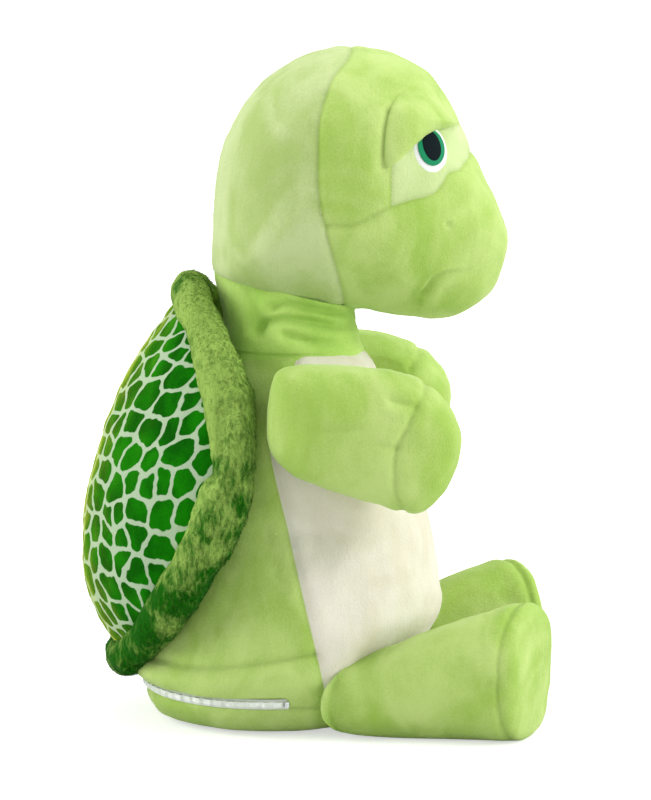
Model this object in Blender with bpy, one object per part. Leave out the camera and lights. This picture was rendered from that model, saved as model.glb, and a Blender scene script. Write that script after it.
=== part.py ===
"""A seated plush turtle, built as its sewn skins, fillings, stuffed shell, eyes and zip.

The turtle faces -Y and sits on the ground at Z = 0. Tables give places as forward (-Y) and up (+Z),
in millimetres: the neck's from the centre of its ball, the head's heights from HEAD_UP, the others
from the ground. Each fabric form is one closed surface; skins, linings and fillings come from it.
"""
import math

import bmesh
import bpy
import numpy as np
from mathutils import Matrix, Vector

MM = 0.001

# Cloth and the gap that sewn neighbours keep
FABRIC = 1.8 * MM
GAP = 0.3 * MM
SEAM = 0.3 * MM
SHAVE = 0.5 * MM

# Torso: up, half width, front, back, fullness of the front corners
TORSO_ROWS = [
    (-0.6, 0, -28, -28, 2.0),
    (-0.5, 30, 2, -58, 2.0),
    (0.1, 50, 22, -78, 2.1),
    (4, 63, 35, -94, 2.6),
    (12, 71, 43, -101, 3.0),
    (21.5, 75, 47, -103, 2.6),
    (32, 78, 54, -114, 2.2),
    (46, 76, 64, -109, 2.0),
    (66, 76, 75, -99, 2.0),
    (92, 72, 74, -92, 2.0),
    (122, 66, 68, -82, 2.0),
    (152, 60, 60, -72, 2.1),
    (180, 59, 49, -65, 2.2),
    (199, 58, 40, -62, 2.1),
    (213, 50, 35, -60, 2.0),
    (224, 38, 24, -50, 2.0),
    (230, 20, 6, -34, 2.0),
    (231, 0, -14, -14, 2.0),
]
TORSO_SEGMENTS = 22
TORSO_RINGS = len(TORSO_ROWS) - 1
BASE_SEAM_UP = 18.5 * MM

# Belly panel seen from the side: forward and up
BELLY_OUTLINE = [(-24, 240), (-22, 163), (-4, 96), (8, 22), (8, 10), (120, 10), (120, 240)]

# Neck: the ball that nods in the torso's collar, and the tube above it: up, half width, front, back
BALL_FORWARD = -14 * MM
BALL_UP = 208 * MM
BALL_RADIUS = 45 * MM
BALL_CLEARANCE = 1.0 * MM
BALL_TOP_CLIMB = 18
BALL_ROWS = 7
COLLAR_RISE = 8 * MM
COLLAR_UP = BALL_UP + COLLAR_RISE
NECK_ROWS = [
    (18, 43.5, 41.2, -43),
    (32, 40, 38, -41),
    (48, 41, 38, -43),
    (64, 42, 36, -45),
    (78, 34, 28, -38),
    (82, 0, -4, -4),
]
NECK_SEGMENTS = 18
NECK_RINGS = BALL_ROWS + len(NECK_ROWS) - 1

# Plane between neck and head, which the head turns on
TURN_FORWARD = -20 * MM
TURN_RISE = 50.5 * MM
TURN_UP = BALL_UP + TURN_RISE
TURN_TILT = 15.3

# Head seen from the side: forward and up, from the chin round the face and over the top
HEAD_RISE = 32 * MM
HEAD_UP = BALL_UP + HEAD_RISE
HEAD_OUTLINE = [
    (24, 6), (39, 4), (57, 1.5), (75, 0.6), (90, 5), (104, 16), (111, 31), (114, 46),
    (112, 58), (106, 74), (99, 88), (90, 104), (84, 119), (75, 134), (66, 146), (51, 155),
    (33, 159.4), (12, 160), (-9, 154), (-30, 140), (-45, 122), (-56, 97), (-60, 67), (-61, 40),
    (-58, 22), (-40, 10), (-10, 6),
]
HEAD_CENTRE = (15, 78)
CRANIUM_HALF_WIDTH = 76 * MM
MUZZLE_HALF_WIDTH = 58 * MM
NARROWS_FROM = 10
NARROWS_TO = 105
JAW_NARROWING = 0.2
JAW_TOP = 60
JAW_BOTTOM = 0
HEAD_FULLNESS = 2.4
HEAD_SEGMENTS = 24
HEAD_RINGS = 12

# Head seams seen from the side: forward and up
FRONT_REGION = [
    (24, 180), (21.5, 158), (9.5, 139), (3, 120), (2, 99), (3, 69), (7, 52), (11, 32), (17, 10),
    (18, -20), (150, -20), (150, 180),
]
MUZZLE_REGION = [
    (-20, 54), (21.4, 54.5), (32, 58), (45, 64.5), (64.4, 70), (73, 76), (78, 85), (90, 88),
    (97, 97), (150, 100), (150, -40), (-20, -40),
]
PATCH_REGION = [(45, 60), (45, 106), (60, 112), (84, 122), (110, 122), (110, 60)]
PATCH_FROM_CENTRE = 7 * MM

# Eyes on the side of the head: forward and up of the centre, half width, half height, bulge
EYE_PLACE = (69, 101)
EYE_WHITE_SIZE = (13, 16, 4.0)
IRIS_SIZE = (8.6, 11, 4.6)
PUPIL_SIZE = (6.4, 8.4, 5.2)
LID_PLACE = (63, 114)
LID_SIZE = (22, 19, 8.5)
LID_EDGE = (66, 106)
LID_EDGE_SLOPE = 27

# Lower lip across the front of the jaw
LIP_PLACE = (86, 18)
LIP_SIZE = (33, 8, 19)

# Arm seen from the side: forward and up
ARM_OUTLINE = [
    (-27, 180), (-27.5, 192), (-26.5, 206), (-22, 214.5), (-9, 218), (15, 219), (43, 219), (63, 212),
    (78, 197), (84, 178), (80, 157), (70, 140), (56, 133.5), (38, 138), (10, 149), (-12, 159),
    (-23, 170),
]
ARM_CENTRE = (25, 180)
ARM_MIDDLE = 81.5 * MM
ARM_HALF_WIDTH = 25 * MM
ARM_INWARD = 34 * MM
ARM_SQUARENESS = 0.85
ARM_PLANE = 57 * MM
ARM_PIT_UP = 120 * MM
ARM_PIT_SLOPE = 0.5
ARM_SEGMENTS = 16
ARM_RINGS = 8
SHOULDER_FORWARD = -8 * MM
SHOULDER_UP = 191 * MM
HAND_SEAM = (55, 165)
HAND_SEAM_TILT = -10

# Leg along its own axis: distance, half width, top, bottom
LEG_ROWS = [
    (-22, 0, 25, 25),
    (-19, 12, 33, 14),
    (-6, 19, 38, 7),
    (9, 22, 42, 3),
    (25, 23, 48, 0.4),
    (45, 25, 57, -0.5),
    (70, 28, 67, -0.5),
    (94, 31, 75, -0.5),
    (111, 33, 79.5, -0.5),
    (119, 31.5, 79, 0.6),
    (123, 26, 72, 8),
    (125, 14, 57, 24),
    (125.5, 0, 40, 40),
]
LEG_START = (57, 6)
LEG_SPLAY = 5.5
LEG_SQUARENESS = 0.92
SOLE_TURN = 24
SOLE_TURN_FROM = 40
SOLE_TURN_TO = 112
SOLE_SEAM = 114 * MM
LEG_SEGMENTS = 14
LEG_RINGS = 11
HIP_SIDE = 60 * MM
HIP_FORWARD = 26 * MM
HIP_UP = 24 * MM
HIP_TURN = 48.7
HIP_RADIUS = 20 * MM
HIP_REACH = 80 * MM
HIP_FLARE = 0.45

# Shell dome: up, half width, line of the rim, back, depth ahead of the rim
DOME_ROWS = [
    (40, 0, -108, -108, 0),
    (44, 26, -106, -117, 12),
    (56, 47, -98, -127, 14),
    (75, 62, -86, -135.5, 13),
    (100, 74, -71, -139.6, 12),
    (130, 79, -56, -137.5, 12),
    (160, 78.5, -47, -131.5, 12),
    (185, 72, -45, -123, 12),
    (210, 60, -51, -110.5, 10),
    (235, 42, -62, -94, 7),
    (250, 24, -71, -82, 4),
    (255, 0, -74, -74, 0),
]
DOME_SEGMENTS = 20
DOME_RINGS = 12

# Stuffed rim, one side from the top to the bottom: side, forward, up, radius
RIM_POINTS = [
    (0, -74, 257, 12.5),
    (28, -71, 250, 13),
    (52, -59, 226, 14.5),
    (68, -49, 197, 15.5),
    (78, -48, 165, 16),
    (81, -59, 125, 16),
    (72, -79, 90, 15),
    (50, -98, 58, 14),
    (26, -111, 41, 12.5),
    (0, -116, 37, 12.5),
]
RIM_STEPS = 36
RIM_SIDES = 2

# Zip: an arc round the back of the base
ZIP_CENTRE_FORWARD = -28 * MM
ZIP_RADIUS = 75 * MM
ZIP_HALF_ANGLE = 100
ZIP_SLOT_HEIGHT = 6.5 * MM
ZIP_SLOT_REACH = 12 * MM
ZIP_UP = BASE_SEAM_UP + ZIP_SLOT_HEIGHT / 2
ZIP_END_PLAY = 0.4
ZIP_STOP_PLAY = 0.6
TAPE_INSET = 0.6 * MM
TAPE_THICKNESS = 1.0 * MM
TAPE_STEPS = 24
TOOTH_COUNT = 36
TOOTH_HEIGHT = 3.0 * MM
TOOTH_DEPTH = 1.6 * MM
TOOTH_BASE = 0.6 * MM
TOOTH_STARTS = 0.18
TOOTH_ENDS = 0.62
TOOTH_FOOT = 0.8
STOP_LENGTH = 2.4 * MM
SLIDER_LENGTH = 10 * MM
SLIDER_HEIGHT = 5.2 * MM
SLIDER_PLATE = 1.2 * MM
SLIDER_PLAY = 0.35 * MM
BRIDGE_LENGTH = 6 * MM
BRIDGE_WIDTH = 1.8 * MM
BRIDGE_OPENING = 1.7 * MM
BRIDGE_BAR = 0.9 * MM
PULL_PIN = 0.9 * MM
PULL_RING_LENGTH = 5.5 * MM
PULL_RING_HEIGHT = 4.8 * MM
PULL_BAR = 0.9 * MM
PULL_TAB_LENGTH = 15 * MM

PLUSH_LIME = (0.50, 0.74, 0.20)
PLUSH_GREEN = (0.38, 0.66, 0.16)
PLUSH_PALE = (0.62, 0.80, 0.40)
PLUSH_CREAM = (0.86, 0.80, 0.66)
PILE_OLIVE = (0.13, 0.30, 0.04)
PRINT_GREEN = (0.05, 0.33, 0.05)
TAPE_WHITE = (0.88, 0.90, 0.88)
FIBRE_WHITE = (0.85, 0.85, 0.83)
NYLON = (0.80, 0.84, 0.80)
METAL = (0.55, 0.56, 0.57)
EYE_WHITE = (0.93, 0.94, 0.94)
EYE_GREEN = (0.02, 0.32, 0.14)
EYE_BLACK = (0.01, 0.01, 0.012)


def at(side, forward, up):
    """A place in metres from sizes in millimetres."""
    return Vector((side, -forward, up)) * MM


def at_head(side, forward, up):
    """A place in metres from sizes in millimetres, with the height taken from HEAD_UP."""
    return at(side, forward, up) + Vector((0, 0, HEAD_UP))


def read_rows(rows, along):
    """The rows' values at a place from 0 to the last row, on a smooth curve through them."""
    last = len(rows) - 1
    step = min(int(along), last - 1)
    part = along - step
    before, start, end, after = (rows[min(max(step + k, 0), last)] for k in (-1, 0, 1, 2))
    values = []
    for a, b, c, d in zip(before, start, end, after):
        slope_in = (c - a) / 2
        slope_out = (d - b) / 2
        bend = 2 * b - 2 * c + slope_in + slope_out
        turn = 3 * c - 3 * b - 2 * slope_in - slope_out
        values.append(((bend * part + turn) * part + slope_in) * part + b)
    return values


def rounded(value, power):
    """A value from -1 to 1, pushed out towards a squarer section."""
    return math.copysign(abs(value) ** power, value)


def smooth_step(low, high, value):
    """0 at the low value and 1 at the high one, with a soft start and end."""
    share = min(max((value - low) / (high - low), 0), 1)
    return share * share * (3 - 2 * share)


# Scene, materials and parts

def new_collection(name):
    collection = bpy.data.collections.get(name) or bpy.data.collections.new(name)
    if collection.name not in bpy.context.scene.collection.children:
        bpy.context.scene.collection.children.link(collection)
    return collection


def link_new(name, mesh):
    obj = bpy.data.objects.new(name, mesh)
    PARTS.objects.link(obj)
    return obj


def from_bmesh(name, bm):
    bmesh.ops.recalc_face_normals(bm, faces=bm.faces)
    if bm.calc_volume(signed=True) < 0:
        bmesh.ops.reverse_faces(bm, faces=bm.faces)
    mesh = bpy.data.meshes.new(name)
    bm.to_mesh(mesh)
    bm.free()
    return link_new(name, mesh)


def form(name, segments, rings, place):
    """A soft closed form: a sphere whose points are moved by a rule."""
    bm = bmesh.new()
    bmesh.ops.create_uvsphere(bm, u_segments=segments, v_segments=rings, radius=1)
    for vertex in bm.verts:
        vertex.co = place(vertex.co.normalized())
    bmesh.ops.triangulate(bm, faces=bm.faces)
    return from_bmesh(name, bm)


def grown(source, name, distance):
    """A copy whose surface stands a distance outside the source, or inside it where negative."""
    bm = bmesh.new()
    bm.from_mesh(source.data)
    bm.normal_update()
    moves = [vertex.normal * distance for vertex in bm.verts]
    for vertex, move in zip(bm.verts, moves):
        vertex.co += move
    return from_bmesh(name, bm)


def keep_modifiers_result(obj):
    graph = bpy.context.evaluated_depsgraph_get()
    mesh = bpy.data.meshes.new_from_object(obj.evaluated_get(graph))
    obj.modifiers.clear()
    old = obj.data
    obj.data = mesh
    bpy.data.meshes.remove(old)


def boolean(obj, tools, operation):
    for tool in tools:
        modifier = obj.modifiers.new("cut", "BOOLEAN")
        modifier.operation = operation
        modifier.solver = "EXACT"
        modifier.object = tool
    keep_modifiers_result(obj)
    return obj


def cut(obj, *tools):
    return boolean(obj, tools, "DIFFERENCE")


def keep(obj, *tools):
    return boolean(obj, tools, "INTERSECT")


def join(obj, *tools):
    return boolean(obj, tools, "UNION")


def drop(*objects):
    for obj in objects:
        bpy.data.objects.remove(obj)


def box(name, low, high):
    """A box between two corners."""
    bm = bmesh.new()
    bmesh.ops.create_cube(bm, size=1)
    for vertex in bm.verts:
        vertex.co = Vector(high[k] if vertex.co[k] > 0 else low[k] for k in range(3))
    return from_bmesh(name, bm)


def half_space(name, point, normal, reach=0.5):
    """A block that fills the space beyond a plane, on the side its normal points to."""
    bm = bmesh.new()
    turn = Vector(normal).to_track_quat("Z", "Y").to_matrix().to_4x4()
    move = Matrix.Translation(point) @ turn @ Matrix.Translation((0, 0, reach / 2))
    bmesh.ops.create_cube(bm, size=reach, matrix=move)
    return from_bmesh(name, bm)


def offset_outline(outline, distance):
    """A closed outline moved outwards by a distance, with mitred corners."""
    area = sum(a.x * b.y - b.x * a.y for a, b in zip(outline, outline[1:] + outline[:1]))
    side = math.copysign(1, area)
    moved = []
    for k, point in enumerate(outline):
        before = (point - outline[k - 1]).normalized()
        after = (outline[(k + 1) % len(outline)] - point).normalized()
        out = Vector((before.y + after.y, -before.x - after.x)).normalized() * side
        stretch = max(0.4, math.sqrt((1 + before.dot(after)) / 2))
        moved.append(point + out * (distance / stretch))
    return moved


def side_prism(name, outline, grow=0.0, rise=0.0, low=-0.2, high=0.2):
    """A prism across the turtle on an outline given as forward and up, which starts at a rise."""
    points = [Vector((forward, up)) * MM for forward, up in outline]
    bm = bmesh.new()
    ring = [bm.verts.new((low, -p.x, p.y + rise)) for p in offset_outline(points, grow)]
    face = bm.faces.new(ring)
    top = bmesh.ops.extrude_face_region(bm, geom=[face])["geom"]
    moved = [item for item in top if isinstance(item, bmesh.types.BMVert)]
    bmesh.ops.translate(bm, verts=moved, vec=(high - low, 0, 0))
    return from_bmesh(name, bm)


def turned(name, profile, place, axis, steps=20):
    """A solid of revolution: radius and distance points, turned round an axis."""
    bm = bmesh.new()
    points = [bm.verts.new((radius, 0, distance)) for radius, distance in profile]
    for start, end in zip(points, points[1:]):
        bm.edges.new((start, end))
    geometry = bm.verts[:] + bm.edges[:]
    bmesh.ops.spin(
        bm, geom=geometry, cent=(0, 0, 0), axis=(0, 0, 1), angle=math.tau, steps=steps, use_merge=True)
    bmesh.ops.remove_doubles(bm, verts=bm.verts, dist=1e-6)
    turn = Vector(axis).to_track_quat("Z", "Y").to_matrix().to_4x4()
    bmesh.ops.transform(bm, verts=bm.verts, matrix=Matrix.Translation(place) @ turn)
    return from_bmesh(name, bm)


def arc_band(name, centre_forward, inner, outer, low, high, half_angle, steps):
    """A curved wall round the turtle's back, from one side to the other."""
    bm = bmesh.new()
    angles = [math.radians(90 + half_angle * (2 * k / steps - 1)) for k in range(steps + 1)]
    outline = [(outer * math.cos(a), outer * math.sin(a)) for a in angles]
    outline += [(inner * math.cos(a), inner * math.sin(a)) for a in reversed(angles)]
    return extruded(bm, name, outline, centre_forward, low, high)


def extruded(bm, name, outline, centre_forward, low, high):
    """An upright prism on an outline given round a centre on the turtle's middle line."""
    ring = [bm.verts.new((x, y - centre_forward, low)) for x, y in outline]
    face = bm.faces.new(ring)
    top = bmesh.ops.extrude_face_region(bm, geom=[face])["geom"]
    moved = [item for item in top if isinstance(item, bmesh.types.BMVert)]
    bmesh.ops.translate(bm, verts=moved, vec=(0, 0, high - low))
    return from_bmesh(name, bm)


def shell_of(source, name):
    """The cloth of a form: the form less its inner side."""
    cloth = grown(source, name, 0)
    lining = grown(source, "lining", -FABRIC)
    cut(cloth, lining)
    drop(lining)
    return cloth


def copy_of(source, name):
    """A copy that keeps each face as it points."""
    return link_new(name, source.data.copy())


def filling_of(source, name):
    """The stuffing of a form, inside its cloth."""
    return grown(source, name, -(FABRIC + GAP))


# Forms

def torso_place(u):
    """The torso's surface: oval rows, pressed flat where the arms and legs sit."""
    along = (1 - math.acos(max(-1, min(1, u.z))) / math.pi) * (len(TORSO_ROWS) - 1)
    up, half_width, front, back, fullness = read_rows(TORSO_ROWS, along)
    turn = math.atan2(-u.y, u.x)
    power = 2 / fullness if math.sin(turn) > 0 else 1
    side = half_width * rounded(math.cos(turn), power)
    forward = (front + back) / 2 + (front - back) / 2 * rounded(math.sin(turn), power)
    place = press_at_hip(at(side, forward, max(up, 0)))
    room = ARM_PLANE + ARM_PIT_SLOPE * max(0, ARM_PIT_UP - place.z)
    place.x = max(-room, min(room, place.x))
    return place


def neck_rows():
    """The ball's rows, from its lowest point, then the tube's."""
    rows = []
    for k in range(BALL_ROWS):
        angle = math.radians(-90 + (90 + BALL_TOP_CLIMB) * k / (BALL_ROWS - 1))
        radius = BALL_RADIUS / MM * math.cos(angle)
        rows.append((BALL_RADIUS / MM * math.sin(angle), radius, radius, -radius))
    return rows + NECK_ROWS


def neck_place(u):
    """The neck's surface, ball and tube in one."""
    rows = neck_rows()
    along = (1 - math.acos(max(-1, min(1, u.z))) / math.pi) * (len(rows) - 1)
    up, half_width, front, back = read_rows(rows, along)
    turn = math.atan2(-u.y, u.x)
    forward = (front + back) / 2 + (front - back) / 2 * math.sin(turn)
    return at(half_width * math.cos(turn), forward, up) + Vector((0, -BALL_FORWARD, BALL_UP))


def outline_reader(outline, centre):
    """How far an outline lies from its centre, at any angle."""
    count = len(outline)
    closed = [outline[-1]] + list(outline) + [outline[0], outline[1]]
    places = []
    for k in range(count * 8):
        step = k // 8
        places.append(read_rows(closed[step:step + 4], 1 + (k % 8) / 8))
    spokes = [(f - centre[0], up - centre[1]) for f, up in places]
    angles = [math.atan2(up, f) for f, up in spokes]
    reach = [math.hypot(f, up) for f, up in spokes]
    return lambda angle: float(np.interp(angle, angles, reach, period=math.tau))


HEAD_REACH = outline_reader(HEAD_OUTLINE, HEAD_CENTRE)
ARM_REACH = outline_reader(ARM_OUTLINE, ARM_CENTRE)


def head_half_width(forward, up):
    """Half the head's width at a place in its side view."""
    toward_nose = smooth_step(NARROWS_FROM, NARROWS_TO, forward)
    width = CRANIUM_HALF_WIDTH + (MUZZLE_HALF_WIDTH - CRANIUM_HALF_WIDTH) * toward_nose
    return width * (1 - JAW_NARROWING * smooth_step(JAW_TOP, JAW_BOTTOM, up))


def head_place(u):
    """The head's surface: its side outline, full across, on a ball's point."""
    angle = math.atan2(u.x, -u.y)
    power = 2 / HEAD_FULLNESS
    reach = HEAD_REACH(angle) * math.sqrt(max(0, 1 - u.z * u.z)) ** power
    forward = HEAD_CENTRE[0] + reach * math.cos(angle)
    up = HEAD_CENTRE[1] + reach * math.sin(angle)
    across = head_half_width(forward, up) * rounded(u.z, power) / MM
    return at_head(across, forward, up)


def head_surface(forward, up, side):
    """The place on the head's side that the side view shows at a point, and its outward normal."""
    def surface(f, z):
        spoke = (f - HEAD_CENTRE[0], z - HEAD_CENTRE[1])
        share = math.hypot(*spoke) / HEAD_REACH(math.atan2(spoke[1], spoke[0]))
        width = head_half_width(f, z) * max(0, 1 - share ** HEAD_FULLNESS) ** (1 / HEAD_FULLNESS)
        return at_head(side * width / MM, f, z)

    place = surface(forward, up)
    ahead = surface(forward + 1, up) - surface(forward - 1, up)
    above = surface(forward, up + 1) - surface(forward, up - 1)
    normal = ahead.cross(above).normalized()
    return place, normal if normal.x * side > 0 else -normal


def arm_place(side):
    """The rule for an arm's surface: its side outline, fuller towards the torso."""
    def place(u):
        angle = math.atan2(u.x, -u.y)
        reach = ARM_REACH(angle) * math.sqrt(max(0, 1 - u.z * u.z))
        forward = ARM_CENTRE[0] + reach * math.cos(angle)
        up = ARM_CENTRE[1] + reach * math.sin(angle)
        half_width = ARM_HALF_WIDTH if u.z > 0 else ARM_INWARD
        across = ARM_MIDDLE + half_width * rounded(u.z, ARM_SQUARENESS)
        return Vector((side * across, -forward * MM, up * MM))
    return place


def leg_place(side):
    """The rule for a leg's surface: oval rows along its axis, turned out towards the sole."""
    splay = math.radians(LEG_SPLAY)
    axis = Vector((math.sin(splay), -math.cos(splay), 0))
    across = Vector((math.cos(splay), math.sin(splay), 0))
    start = at(LEG_START[0], LEG_START[1], 0)
    skew = math.tan(math.radians(SOLE_TURN - LEG_SPLAY))

    def place(u):
        along = (1 - math.acos(max(-1, min(1, u.z))) / math.pi) * (len(LEG_ROWS) - 1)
        distance, half_width, top, bottom = read_rows(LEG_ROWS, along)
        turn = math.atan2(u.y, u.x)
        lateral = half_width * rounded(math.cos(turn), LEG_SQUARENESS)
        up = (top + bottom) / 2 + (top - bottom) / 2 * rounded(math.sin(turn), LEG_SQUARENESS)
        distance -= lateral * skew * smooth_step(SOLE_TURN_FROM, SOLE_TURN_TO, distance)
        spot = start + (axis * distance + across * lateral) * MM
        return Vector((side * spot.x, spot.y, max(up, 0) * MM))
    return place


def dome_place(u):
    """The shell's surface: rows that bulge back from the line of the rim."""
    along = (1 - math.acos(max(-1, min(1, u.z))) / math.pi) * (len(DOME_ROWS) - 1)
    up, half_width, line, back, inward = read_rows(DOME_ROWS, along)
    turn = math.atan2(-u.y, u.x)
    depth = inward if math.sin(turn) > 0 else line - back
    return at(half_width * math.cos(turn), line + depth * math.sin(turn), up)


def ellipsoid(name, place, normal, size, segments=14, rings=8):
    """A flattened ball on a surface: half width, half height and bulge along the normal."""
    upright = Vector((0, 0, 1))
    across = upright.cross(normal).normalized()
    tall = normal.cross(across).normalized()
    turn = Matrix((across, tall, normal)).transposed().to_4x4()
    scale = Matrix.Diagonal([value * MM for value in size] + [1])
    bm = bmesh.new()
    bmesh.ops.create_uvsphere(bm, u_segments=segments, v_segments=rings, radius=1)
    bmesh.ops.transform(bm, verts=bm.verts, matrix=Matrix.Translation(place) @ turn @ scale)
    return from_bmesh(name, bm)


# Sub-parts

def turn_plane():
    """A point on the plane between neck and head, and its normal."""
    tilt = math.radians(TURN_TILT)
    return Vector((0, -TURN_FORWARD, TURN_UP)), Vector((0, -math.sin(tilt), math.cos(tilt)))


def hip_frame(side):
    """The middle of a hip's flat spot, and the axis out of it that the leg turns on."""
    turn = math.radians(HIP_TURN)
    place = Vector((side * HIP_SIDE, -HIP_FORWARD, HIP_UP))
    return place, Vector((side * math.sin(turn), -math.cos(turn), 0))


def hip_rise(radius):
    """How far a hip's flat spot flares out round the leg, so that the leg can turn."""
    return HIP_FLARE * max(0, radius - HIP_RADIUS)


def press_at_hip(place):
    """Moves a point of the torso in to the flat spot that the leg on its side turns on."""
    side = -1 if place.x < 0 else 1
    centre, axis = hip_frame(side)
    spoke = place - centre
    distance = spoke.dot(axis)
    radius = (spoke - axis * distance).length
    return place - axis * max(0, distance - hip_rise(radius))


def hip_pits():
    """Cutters that trim the torso's cloth to the flared flat spots."""
    rise = hip_rise(HIP_REACH)
    profile = [(0, 0), (HIP_RADIUS, 0), (HIP_REACH, rise), (HIP_REACH, HIP_REACH), (0, HIP_REACH)]
    return [turned("hip_pit", profile, *hip_frame(side)) for side in (-1, 1)]


def hip_side_of_leg(side):
    """Everything on the torso's side of a hip's flat spot, with the gap."""
    rise = GAP + hip_rise(HIP_REACH)
    profile = [(0, -HIP_REACH), (HIP_REACH, -HIP_REACH), (HIP_REACH, rise), (HIP_RADIUS, GAP), (0, GAP)]
    return turned("hip_side", profile, *hip_frame(side))


def build_torso(torso, neck):
    """The torso's skin, belly panel, base panel and stuffing bag, round the zip's slot."""
    ball = grown(neck, "neck_ball", BALL_CLEARANCE)
    above = half_space("above_collar", (0, 0, COLLAR_UP), (0, 0, 1))
    pits = hip_pits()
    below_seam = half_space("below_seam", (0, 0, BASE_SEAM_UP), (0, 0, -1))
    above_seam = half_space("above_seam", (0, 0, BASE_SEAM_UP - SEAM), (0, 0, 1))
    slot, tape_room = (
        arc_band(
            name, ZIP_CENTRE_FORWARD, inner, ZIP_RADIUS + ZIP_SLOT_REACH,
            BASE_SEAM_UP - SHAVE, BASE_SEAM_UP + ZIP_SLOT_HEIGHT, ZIP_HALF_ANGLE, TAPE_STEPS)
        for name, inner in (
            ("zip_slot", ZIP_RADIUS - ZIP_SLOT_REACH),
            ("tape_room", tape_outer_radius() - TAPE_THICKNESS - GAP)))
    belly_wide = side_prism("belly_wide", BELLY_OUTLINE, SEAM / 2)
    belly_tight = side_prism("belly_tight", BELLY_OUTLINE, -SEAM / 2)

    cloth = shell_of(torso, "cloth")
    skin = copy_of(cloth, "torso_skin")
    cut(skin, above, ball, *pits, below_seam, slot, belly_wide)
    belly = copy_of(cloth, "belly_panel")
    keep(belly, belly_tight)
    cut(belly, above, ball, *pits, below_seam)
    base = cut(copy_of(cloth, "base_panel"), above_seam, *pits)

    pod = cut(filling_of(torso, "torso_pod"), ball, above, tape_room, *pits)
    drop(cloth, ball, above, *pits, below_seam, above_seam, slot, tape_room, belly_wide, belly_tight)
    return skin, belly, base, pod


def build_shell(torso, neck):
    """The shell's printed cover, its filling and its stuffed rim, set against torso and neck."""
    body = grown(torso, "body_room", GAP)
    nape = grown(neck, "nape_room", BALL_CLEARANCE)
    dome = form("dome", DOME_SEGMENTS, DOME_RINGS, dome_place)
    rim = build_rim()
    room = grown(rim, "rim_room", GAP)
    cover = cut(shell_of(dome, "shell_cover"), body, room, nape)
    keep_largest(cover)
    filling = cut(filling_of(dome, "shell_filling"), body, room, nape)
    keep_largest(filling)
    cut(rim, body, nape)
    keep_largest(rim)
    drop(body, dome, room, nape)
    return cover, filling, rim


def build_rim():
    """The stuffed tube along the shell's edge, on a smooth closed line through its points."""
    half = RIM_POINTS
    around = half + [(-x, f, z, r) for x, f, z, r in reversed(half[1:-1])]
    count = len(around)
    closed = [around[-1]] + around + [around[0], around[1]]
    curve = bpy.data.curves.new("shell_rim", "CURVE")
    curve.dimensions = "3D"
    curve.bevel_depth = 1.0 * MM
    curve.bevel_resolution = RIM_SIDES
    spline = curve.splines.new("POLY")
    spline.points.add(RIM_STEPS - 1)
    for k, point in enumerate(spline.points):
        along = k * count / RIM_STEPS
        step = int(along)
        side, forward, up, radius = read_rows(closed[step:step + 4], 1 + along - step)
        point.co = (*at(side, forward, up), 1)
        point.radius = radius
    spline.use_cyclic_u = True
    tube = bpy.data.objects.new("rim_curve", curve)
    PARTS.objects.link(tube)
    graph = bpy.context.evaluated_depsgraph_get()
    mesh = bpy.data.meshes.new_from_object(tube.evaluated_get(graph))
    bpy.data.objects.remove(tube)
    bm = bmesh.new()
    bm.from_mesh(mesh)
    bpy.data.meshes.remove(mesh)
    bmesh.ops.remove_doubles(bm, verts=bm.verts, dist=1e-6)
    return from_bmesh("shell_rim", bm)


def keep_largest(obj):
    """Removes slivers that a cut leaves beside a piece."""
    bm = bmesh.new()
    bm.from_mesh(obj.data)
    left = set(bm.verts)
    groups = []
    while left:
        group = [left.pop()]
        for vertex in group:
            for edge in vertex.link_edges:
                other = edge.other_vert(vertex)
                if other in left:
                    left.remove(other)
                    group.append(other)
        groups.append(group)
    groups.sort(key=len)
    extra = [vertex for group in groups[:-1] for vertex in group]
    bmesh.ops.delete(bm, geom=extra, context="VERTS")
    bm.to_mesh(obj.data)
    bm.free()


def build_neck(neck):
    """The neck's skin and filling, up to the plane that the head turns on."""
    point, normal = turn_plane()
    above = half_space("above_turn", point - normal * (GAP / 2), normal)
    skin = cut(shell_of(neck, "neck_skin"), above)
    filling = cut(filling_of(neck, "neck_filling"), above)
    drop(above)
    return skin, filling


def build_head(head):
    """The head's panels and stuffing bag; the side view's seams run straight across."""
    point, normal = turn_plane()
    below = half_space("below_turn", point + normal * (GAP / 2), -normal)
    front_wide = side_prism("front_wide", FRONT_REGION, SEAM / 2, HEAD_UP)
    front_tight = side_prism("front_tight", FRONT_REGION, -SEAM / 2, HEAD_UP)
    muzzle_wide = side_prism("muzzle_wide", MUZZLE_REGION, SEAM / 2, HEAD_UP)
    muzzle_tight = side_prism("muzzle_tight", MUZZLE_REGION, -SEAM / 2, HEAD_UP)

    cloth = cut(shell_of(head, "cloth"), below)
    back = cut(copy_of(cloth, "head_back_panel"), front_wide)
    front = keep(copy_of(cloth, "front"), front_tight)
    muzzle = keep(copy_of(front, "muzzle_panel"), muzzle_tight)
    face = cut(copy_of(front, "face_panel"), muzzle_wide)
    patches = []
    for side, name in ((-1, "right"), (1, "left")):
        ends = sorted((side * PATCH_FROM_CENTRE, side * 0.2))
        tight = side_prism("patch_tight", PATCH_REGION, -SEAM / 2, HEAD_UP, *ends)
        wide = side_prism("patch_wide", PATCH_REGION, SEAM / 2, HEAD_UP, ends[0] - SEAM, ends[1] + SEAM)
        patch = cut(keep(copy_of(front, "eye_patch_" + name), tight), muzzle_wide)
        cut(face, wide)
        patches.append(patch)
        drop(tight, wide)
    pod = cut(filling_of(head, "head_pod"), below)
    drop(cloth, front, below, front_wide, front_tight, muzzle_wide, muzzle_tight)
    return back, face, muzzle, patches, pod


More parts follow.
